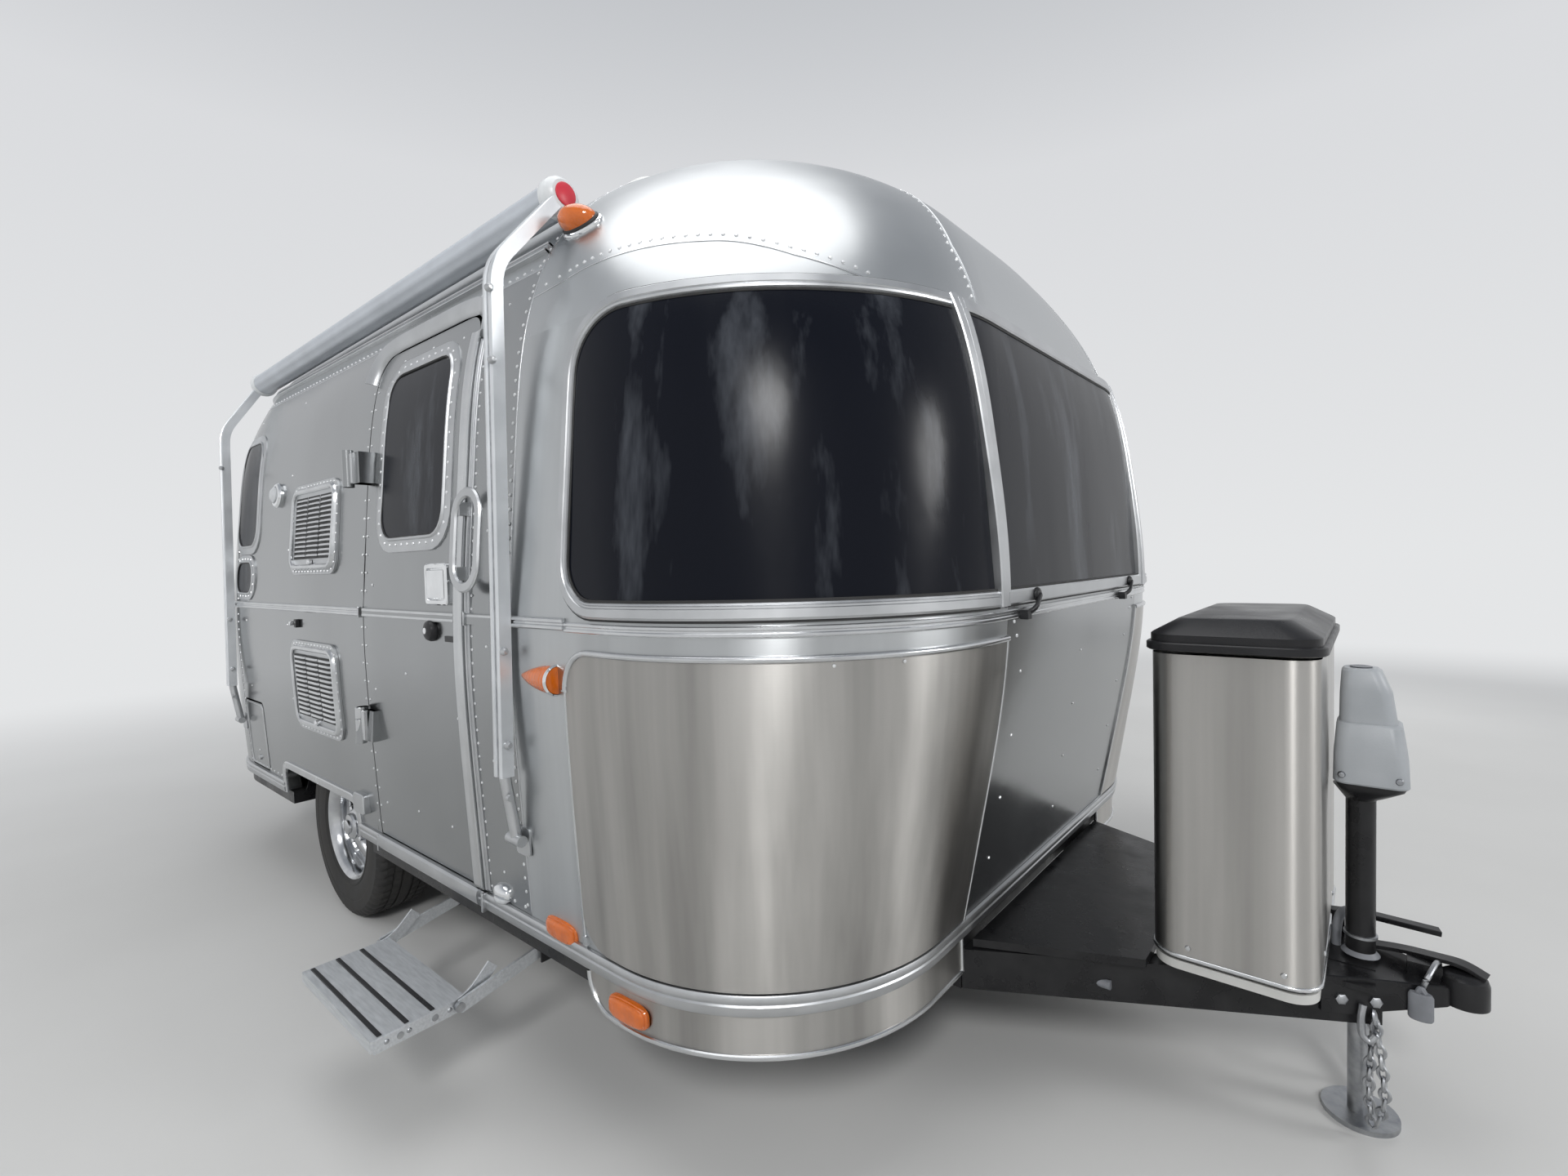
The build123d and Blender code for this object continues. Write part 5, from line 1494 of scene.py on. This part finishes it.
        # Grey hose behind the tube: it comes up through the channel's top and goes back down beside it
        radius = context.scene.caravan_sizes.hose_radius
        curve = bpy.data.curves.new("gas_hose", "CURVE")
        curve.dimensions = "3D"
        line = curve.splines.new("NURBS")
        line.points.add(len(HOSE_ROUTE) - 1)
        for point, place in zip(line.points, HOSE_ROUTE):
            point.co = (*(np.array(place) - ORIGIN), 1.0)
        line.order_u = 3
        line.use_endpoint_u = True
        line.resolution_u = 16
        curve.bevel_depth = radius
        curve.bevel_resolution = 4
        hose = new_object("gas_hose", curve)
        curve.materials.append(MATERIALS["wire_grey"])
        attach(hose, "body")
        # Conduit and box under the front of the body
        dark.tube([(-0.14, -0.36, 0.318), (0.16, -0.36, 0.318)], 0.011, (0, 0, 1), 12)
        dark.box((-0.3, -0.46, 0.29), (-0.16, -0.36, 0.35))
        for x in (-0.05, 0.08):
            zinc.lathe((x, -0.36, 0.318), (1, 0, 0), [(0.01, -0.008), (0.015, -0.007), (0.015, 0.007),
                                                      (0.01, 0.008)], 16)
        black.make("coupler_lever", "frame_paint")
        zinc.make("chains_and_bolts", "zinc")
        dark.make("tongue_dark", "wire_grey", slot="frame_paint")
        return {"FINISHED"}


class CARAVAN_OT_wheels(bpy.types.Operator):
    """Wheels: a five-spoke dish and stepped rim lathed about the axle, tyre with grooved tread and side ribs.

    The dish is z(r, a) = crown(r) - pocket(r) * s(a), where s is 1 between spokes and 0 on them.
    """

    bl_idname = "caravan.wheels"
    bl_label = "Wheels"

    def execute(self, context):
        sizes = context.scene.caravan_sizes
        for side, word in ((-1, "curb"), (1, "street")):
            face_y = side * (TYRE_OUTER_Y - 0.02)
            out = np.array([0, side, 0.0])
            wheel = Piece()
            c = np.array([WHEEL_X, face_y, WHEEL_R])
            wheel.lathe(c, out, [(0.176, -0.15), (0.19, -0.15), (0.192, -0.01), (0.205, 0.0), (0.208, 0.006),
                                 (0.203, 0.009), (0.192, 0.004), (0.184, -0.004), (0.176, -0.028),
                                 (0.172, -0.06), (0.172, -0.15)], 72)
            r = np.concatenate([[0.001, 0.02, 0.032], np.linspace(0.046, 0.174, 22)])
            a = turns(160)
            rr, aa = np.meshgrid(r, a, indexing="ij")
            crown = -0.018 - 0.03 * (rr / 0.174)**2 + 0.012 * np.exp(-(rr / 0.07)**2)
            phase = np.abs((aa * sizes.wheel_spokes / (2 * np.pi) + 0.5) % 1 - 0.5) * 2
            gap = 1 / (1 + np.exp(-(phase - np.clip(0.62 - 1.1 * (rr - 0.06), 0.36, 0.66)) * 26))
            within = 1 / (1 + np.exp(-(rr - 0.074) * 300)) / (1 + np.exp((rr - 0.16) * 300))
            depth = crown - 0.055 * gap * within
            p = c + np.stack([rr * np.cos(aa), side * depth, rr * np.sin(aa)], -1)
            wheel.grid(p, wrap_v=True)
            wheel.lathe(c + (0, side * -0.006, 0), out, [(0.05, -0.03), (0.052, -0.002), (0.046, 0.006),
                                                         (0.03, 0.009), (0.028, 0.016), (0.02, 0.02),
                                                         (0, 0.021)], 40)
            wheel.make(f"alloy_{word}", "alloy", f"wheel_{word}_side", "alloy", replaces=(f"wheel_{word}",))
            nuts = Piece()
            for k in range(5):
                t = 2 * np.pi * (k + 0.5) / 5
                at = c + (0.068 * cos(t), side * -0.034, 0.068 * sin(t))
                nuts.lathe(at, out, [(0, 0), (0.011, 0), (0.011, 0.018), (0.007, 0.022), (0, 0.023)], 6)
            nuts.lathe(c + (0.15, side * -0.03, 0.08), out, [(0, 0), (0.004, 0), (0.003, 0.022), (0, 0.023)],
                       8)
            nuts.make(f"wheel_nuts_{word}", "chrome", f"wheel_{word}_side", "chrome")
            dark = Piece()
            dark.lathe(c + (0, side * -0.075, 0), out, [(0, 0), (0.171, 0), (0.171, -0.004), (0, -0.004)], 48)
            dark.lathe(
                c + (0, side * -0.072, 0), out, [(0.06, -0.01), (0.15, -0.01), (0.15, 0.0), (0.06, 0.0)], 48)
            dark.make(f"brake_{word}", "frame_paint", f"wheel_{word}_side", "frame_paint")
            # Tyre: section from bead to bead, tread pressed in by grooves and sipes
            v = np.array([-0.1075, -0.1, -0.092, -0.0865, -0.08, -0.079, -0.074, -0.073, -0.056, -0.055,
                          -0.05, -0.049, -0.026, -0.025, -0.018, -0.017])
            v = np.concatenate([v, -v[::-1]])
            shoulder = np.interp(np.abs(v), [0, 0.08, 0.092, 0.1, 0.1075], [0.0, 0.002, 0.008, 0.016, 0.034])
            a = turns(240)
            vv, aa = np.meshgrid(v, a, indexing="ij")
            line = ((np.abs(np.abs(vv) - 0.0525) < 0.0026) | (np.abs(np.abs(vv) - 0.0215) < 0.0036)) * 0.007
            cut = (aa * sizes.tread_blocks / (2 * np.pi) + 9 * np.abs(vv)) % 1 < 0.26
            saw = cut & (np.abs(vv) > 0.026) & (np.abs(vv) < 0.102)
            rad = WHEEL_R - shoulder[:, None] - np.maximum(line, 0.0055 * saw)
            mid = side * (TYRE_OUTER_Y - TYRE_WIDTH / 2)
            tread = np.stack([WHEEL_X + rad * np.cos(aa), mid + vv, WHEEL_R + rad * np.sin(aa)], -1)
            wall = [(WHEEL_R - 0.034, 0.1075), (0.3, 0.1075), (0.285, 0.1085), (0.282, 0.107), (0.262, 0.108),
                    (0.24, 0.106), (0.226, 0.1035), (0.223, 0.1052), (0.216, 0.104), (0.209, 0.096),
                    (0.1965, 0.09)]
            tyre = Piece()
            tyre.grid(tread, wrap_v=True)
            for s in (1, -1):
                tyre.lathe((WHEEL_X, mid, WHEEL_R), (0, s, 0), wall, 96)
            tyre.lathe((WHEEL_X, mid, WHEEL_R), (0, 1, 0), [(0.1965, -0.09), (0.1965, 0.09)], 96)
            tyre.make(f"tyre_tread_{word}", "tyre", f"wheel_{word}_side", "tyre", replaces=(f"tyre_{word}",),
                      sharp=28)
        return {"FINISHED"}


class CARAVAN_OT_step(bpy.types.Operator):
    """Step: rubber strips on the tread, bolt heads, the thin links and the cross rod of its frame."""

    bl_idname = "caravan.step"
    bl_label = "Entry step"

    def execute(self, context):
        strips, bolts, links = Piece(), Piece(), Piece()
        for y in (-1.522, -1.462, -1.402):
            strips.box((STEP_REAR + 0.022, y - 0.0055, 0.2945), (STEP_FRONT - 0.022, y + 0.0055, 0.2985))
        strips.make("step_strips", "black_plastic", "step_plate", "black_plastic", bevel=0.0015)
        for x, s in ((STEP_REAR + 0.0145, -1), (STEP_FRONT - 0.0145, 1)):
            for y in (-1.51, -1.46, -1.365, -1.345):
                bolts.lathe((x, y, 0.28), (s, 0, 0), [(0, -0.004), (0.006, -0.004), (0.006, 0.0005),
                                                      (0.004, 0.003), (0, 0.0035)], 14)
        rails = Piece()
        for x in (STEP_REAR + 0.017, STEP_FRONT - 0.017):
            path = bent([(x, -1.538, 0.279), (x, -1.318, 0.279), (x, -1.25, 0.344)], 0.06)
            rails.sweep(
                path, (1, 0, 0), [(-0.016, -0.0025), (-0.016, 0.0025), (0.016, 0.0025), (0.016, -0.0025)])
            for y in (-1.48, -1.4, -1.33):
                bolts.lathe((x + (0.003 if x > -1.3 else -0.003), y, 0.279), (1 if x > -1.3 else -1, 0, 0),
                            [(0, -0.004), (0.008, -0.004), (0.008, 0.0008), (0, 0.0008)], 16)
        rails.make("step_rails", "step_metal", "step_plate", "step_metal")
        bolts.make("step_bolts", "zinc", "step_plate", "zinc")
        for x in (STEP_REAR + 0.004, STEP_FRONT - 0.004):
            links.lathe((x - 0.006, -1.345, 0.282), (1, 0, 0),
                        [(0, 0), (0.012, 0), (0.012, 0.012), (0, 0.012)], 18)
            links.lathe((x - 0.007, -1.108, 0.33), (1, 0, 0),
                        [(0, 0), (0.014, 0), (0.014, 0.014), (0, 0.014)], 18)
        links.make("step_pins", "zinc", "step_arm", "zinc")
        return {"FINISHED"}


class CARAVAN_OT_roof(bpy.types.Operator):
    """Roof fittings: grille slots and seam of the air conditioner, seam of the fan lid."""

    bl_idname = "caravan.roof"
    bl_label = "Roof fittings"

    def execute(self, context):
        black, light = Piece(), Piece()
        ac_x, ac_z = -1.9, 2.725
        for side in (-1, 1):
            for k in range(11):
                x = ac_x - 0.32 + 0.045 * k
                for row in (0, 1):
                    z = ac_z + 0.045 + 0.04 * row
                    y = side * (0.34 - 0.07 * (z - ac_z) / 0.17 + 0.0005)
                    black.lathe((x + 0.012 * row, y, z), (0, side, 0.4),
                                [(0, -0.004), (0.013, -0.004), (0.013, 0.0015), (0, 0.0015)], 12)
        plan = spread(rounded_rect(ac_x - 0.5, ac_x + 0.5, -0.34, 0.34, 0.12, 8), 0.03, closed=True)
        out = level(plan - np.clip(plan, (ac_x - 0.38, -0.22), (ac_x + 0.38, 0.22)), 0.0)
        light.sweep(level(plan, ac_z), unit(out), band(0.014, 0.004, 0.002, 0.003), closed=True)
        fan = spread(rounded_rect(-3.0, -2.6, -0.2, 0.2, 0.05, 6), 0.03, closed=True)
        out = level(fan - np.clip(fan, (-2.95, -0.15), (-2.65, 0.15)), 0.0)
        light.sweep(level(fan, 2.681), unit(out), band(0.01, 0.003, 0.001, 0.003), closed=True)
        black.make("roof_grilles", "black_plastic")
        light.make("roof_seams", "roof_plastic")
        return {"FINISHED"}


class CARAVAN_OT_rear(bpy.types.Operator):
    """Rear fittings: window frame with its seal, and the blank plate holder."""

    bl_idname = "caravan.rear"
    bl_label = "Rear fittings"

    def execute(self, context):
        trim, seal, plate = Piece(), Piece(), Piece()
        outline = spread(rounded_rect(-0.48 - 0.014, 0.48 + 0.014, 1.4 - 0.014, 1.88 + 0.014, 0.1, 9), 0.03,
                         closed=True)
        p, n = skin_end(outline[:, 0], outline[:, 1], -1)
        trim.sweep(p, n, band(0.04, 0.012, 0.004, 0.004), closed=True)
        seal.sweep(p, n, band(0.05, 0.006, 0.001, 0.003), closed=True)
        p, n = skin_end(0.0, 0.78, -1)
        plate.stack([[(p[0] - d, y, z) for y, z in rounded_rect(-0.165, 0.165, 0.69, 0.87, 0.015, 5)]
                     for d in (-0.02, 0.016)])
        trim.make("rear_window_frame", "trim")
        seal.make("rear_window_seal", "seal", slot="black_plastic")
        plate.make("plate_holder", "black_plastic", bevel=0.002)
        return {"FINISHED"}


class CARAVAN_OT_stage(bpy.types.Operator):
    """Floor, backdrop light, lamps and camera."""

    bl_idname = "caravan.stage"
    bl_label = "Stage, lamps and camera"

    def execute(self, context):
        scene = bpy.context.scene
        scene.view_settings.view_transform = "Standard"
        rings = np.array([0.02, 1, 2, 3, 4, 5, 6.5, 8, 11, 15, 22, 35, 60])
        turn = turns(64)
        sheet = Piece()
        sheet.grid(np.stack([rings[:, None] * np.cos(turn) - 1.6, rings[:, None] * np.sin(turn),
                             0 * rings[:, None] * turn], -1) [:, ::-1], wrap_v=True, cap_u=False)
        points = np.concatenate(sheet.points)
        floor_mesh = bpy.data.meshes.new("floor_sheet")
        floor_mesh.from_pydata(points.tolist(), [], np.concatenate(sheet.faces).tolist())
        floor = new_object("floor_sheet", floor_mesh)
        floor.location = (-ORIGIN[0], 0, -ORIGIN[2])
        backdrop = (*context.scene.caravan_colours.backdrop, 1)
        ground = Nodes("floor_finish")
        ground.tint(ground.noise(0.8), (0.62, 0.62, 0.61), (0.66, 0.66, 0.65))
        ground.set(Roughness=0.9)
        far = ground.node("ShaderNodeEmission", Color=backdrop, Strength=1.0)
        reach = ground.node("ShaderNodeVectorMath", operation="LENGTH")
        ground.link(ground.coords, reach.inputs[0])
        fade = ground.node("ShaderNodeMapRange", interpolation_type="SMOOTHSTEP")
        for key, value in (("From Min", 3.5), ("From Max", 11.0)):
            fade.inputs[key].default_value = value
        ground.link(reach.outputs["Value"], fade.inputs["Value"])
        both = ground.node("ShaderNodeMixShader")
        ground.link(fade.outputs["Result"], both.inputs["Fac"])
        ground.link(ground.shader.outputs[0], both.inputs[1])
        ground.link(far.outputs[0], both.inputs[2])
        ground.link(both.outputs[0], ground.tree.nodes["Material Output"].inputs["Surface"])
        floor_mesh.materials.append(ground.material)
        world = bpy.data.worlds.new("studio")
        scene.world = world
        world.use_nodes = True
        sky = Tree(world.node_tree)
        split = sky.node("ShaderNodeSeparateXYZ")
        ramp = sky.node("ShaderNodeValToRGB")
        sky.link(sky.node("ShaderNodeTexCoord").outputs["Generated"], split.inputs[0])
        sky.link(split.outputs["Z"], ramp.inputs["Fac"])
        stops = ramp.color_ramp.elements
        stops[0].color = backdrop
        stops[1].color = (0.3, 0.32, 0.35, 1)
        for place, shade in ((0.45, (0.7, 0.71, 0.73, 1)), (0.75, (0.42, 0.44, 0.47, 1))):
            stops.new(place).color = shade
        # Camera, mirror and transmitted rays see the backdrop at full strength, the others at 0.55 of it
        rays = sky.node("ShaderNodeLightPath").outputs
        seen = sky.node("ShaderNodeMath", operation="ADD")
        sky.link(rays["Is Camera Ray"], seen.inputs[0])
        sky.link(rays["Is Glossy Ray"], seen.inputs[1])
        through = sky.node("ShaderNodeMath", operation="ADD", use_clamp=True)
        sky.link(seen.outputs[0], through.inputs[0])
        sky.link(rays["Is Transmission Ray"], through.inputs[1])
        strength = sky.node("ShaderNodeMapRange")
        strength.inputs["To Min"].default_value = 0.55
        sky.link(through.outputs[0], strength.inputs["Value"])
        background = sky.tree.nodes["Background"]
        sky.link(ramp.outputs["Color"], background.inputs["Color"])
        sky.link(strength.outputs["Result"], background.inputs["Strength"])
        for name, at, aim, size, power in (("key_light", (2.6, -5.2, 4.8), (-1.2, 0, 1.1), 1.5, 190),
                                           ("top_light", (-1.6, -0.8, 6.5), (-2.0, 0, 0.5), 5.5, 150),
                                           ("fill_light", (-6.5, -6.0, 3.4), (-2.0, 0, 1.0), 3.4, 130),
                                           ("front_light", (5.5, 1.2, 3.6), (-0.4, 0, 1.1), 1.6, 90),
                                           ("far_light", (0.5, 6.5, 3.5), (-1.5, 0, 1.0), 3.0, 110)):
            data = bpy.data.lights.new(name, "AREA")
            data.shape = "DISK"
            data.size = size
            data.energy = power
            lamp = new_object(name, data)
            lamp.location = Vector(at) - Vector(ORIGIN)
            lamp.rotation_euler = (Vector(aim) - Vector(at)).to_track_quat("-Z", "Y").to_euler()
            lamp.visible_glossy = name not in ("far_light", "fill_light")
        yaw, pitch, roll = CAMERA_TURN
        ahead = Vector((-cos(yaw) * cos(pitch), sin(yaw) * cos(pitch), sin(pitch)))
        right = ahead.cross(Vector((0, 0, 1))).normalized()
        up = right.cross(ahead)
        right, up = cos(roll) * right + sin(roll) * up, -sin(roll) * right + cos(roll) * up
        data = bpy.data.cameras.new("camera")
        data.sensor_width = 36.0
        data.lens = CAMERA_FOCUS_PX / 1920 * 36.0
        data.clip_start = 0.02
        camera = new_object("camera", data)
        rows = [(x, y, -z, at - start) for x, y, z, at, start in zip(right, up, ahead, CAMERA_AT, ORIGIN)]
        camera.matrix_world = Matrix(rows + [(0, 0, 0, 1)])
        scene.camera = camera
        return {"FINISHED"}


def length(name, text, default, low, high):
    """A length in metres."""
    return FloatProperty(name=name, description=text, default=default, min=low, max=high, unit="LENGTH")


def colour(name, text, default):
    """A colour of three linear parts."""
    return FloatVectorProperty(name=name, description=text, subtype="COLOR", size=3, default=default, min=0,
                               max=1)


class CaravanSizes(bpy.types.PropertyGroup):
    """Sizes of the trims and fittings that a user may change."""

    rivet_radius: length("Rivet radius", "Radius of the heads along the seams", 0.0055, 0.002, 0.012)
    rivet_height: length("Rivet height", "How far the heads stand off the skin", 0.0028, 0.0005, 0.006)
    lap_width: length("Lap width", "Width of the strip that shows a lap seam", 0.004, 0.001, 0.01)
    frame_rivet_gap: length("Frame rivet gap", "Distance between rivets of a window frame", 0.042, 0.015, 0.1)
    louvre_rows: IntProperty(
        name="Louvre rows", description="Hoods in each column of a vent", default=13, min=3, max=20)
    tread_blocks: IntProperty(
        name="Tread blocks", description="Shoulder blocks round a tyre", default=60, min=20, max=90)
    wheel_spokes: IntProperty(name="Spokes", description="Spokes of a wheel", default=5, min=3, max=9)
    link_length: length("Chain link", "Length of one link of the safety chains", 0.036, 0.02, 0.06)
    hose_radius: length("Hose radius", "Radius of the grey hose behind the jack", 0.01, 0.003, 0.02)


class CaravanColours(bpy.types.PropertyGroup):
    """Colours of the finishes and of the stage."""

    skin: colour("Skin", "Clad aluminium of the body", (0.36, 0.37, 0.375))
    stainless: colour("Stainless", "Brushed guards, skirts and bottle cover", (0.56, 0.545, 0.52))
    awning: colour("Awning", "Awning roller", (0.46, 0.49, 0.53))
    amber: colour("Amber lens", "Marker lamps", (0.8, 0.17, 0.01))
    red: colour("Red lens", "Rear lamps", (0.5, 0.01, 0.01))
    backdrop: colour("Backdrop", "Colour of the studio behind the caravan", (0.78, 0.79, 0.8))


class CARAVAN_PT_pieces(bpy.types.Panel):
    """Lists the sizes, the colours and the operators that build the caravan."""

    bl_idname = "CARAVAN_PT_pieces"
    bl_label = "Travel caravan"
    bl_space_type = "VIEW_3D"
    bl_region_type = "UI"
    bl_category = "Caravan"

    def draw(self, context):
        """Sizes and colours first, then a button for each operator."""
        for group in (context.scene.caravan_sizes, context.scene.caravan_colours):
            column = self.layout.column(align=True)
            for key in group.__annotations__:
                column.prop(group, key)
        column = self.layout.column(align=True)
        for operator in OPERATORS:
            column.operator(operator.bl_idname)


OPERATORS = (
    CARAVAN_OT_finishes,
    CARAVAN_OT_plates,
    CARAVAN_OT_seams,
    CARAVAN_OT_front_windows,
    CARAVAN_OT_side_windows,
    CARAVAN_OT_mouldings,
    CARAVAN_OT_guards,
    CARAVAN_OT_lamps,
    CARAVAN_OT_vents,
    CARAVAN_OT_door,
    CARAVAN_OT_side_fittings,
    CARAVAN_OT_awning,
    CARAVAN_OT_tongue,
    CARAVAN_OT_wheels,
    CARAVAN_OT_step,
    CARAVAN_OT_roof,
    CARAVAN_OT_rear,
    CARAVAN_OT_stage,
)
CLASSES = (CaravanSizes, CaravanColours, *OPERATORS, CARAVAN_PT_pieces)


def register():
    """Registers the classes and hangs the two property groups on the scene."""
    for cls in CLASSES:
        bpy.utils.register_class(cls)
    bpy.types.Scene.caravan_sizes = PointerProperty(type=CaravanSizes)
    bpy.types.Scene.caravan_colours = PointerProperty(type=CaravanColours)


def unregister():
    """Takes the property groups and the classes away again."""
    del bpy.types.Scene.caravan_colours
    del bpy.types.Scene.caravan_sizes
    for cls in reversed(CLASSES):
        bpy.utils.unregister_class(cls)


def main():
    """Registers the add-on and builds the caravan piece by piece."""
    register()
    bpy.ops.caravan.finishes()
    bpy.ops.caravan.plates()
    bpy.ops.caravan.seams()
    bpy.ops.caravan.front_windows()
    bpy.ops.caravan.side_windows()
    bpy.ops.caravan.mouldings()
    bpy.ops.caravan.guards()
    bpy.ops.caravan.lamps()
    bpy.ops.caravan.vents()
    bpy.ops.caravan.door()
    bpy.ops.caravan.side_fittings()
    bpy.ops.caravan.awning()
    bpy.ops.caravan.tongue()
    bpy.ops.caravan.wheels()
    bpy.ops.caravan.step()
    bpy.ops.caravan.roof()
    bpy.ops.caravan.rear()
    bpy.ops.caravan.stage()


if __name__ == "__main__":
    main()
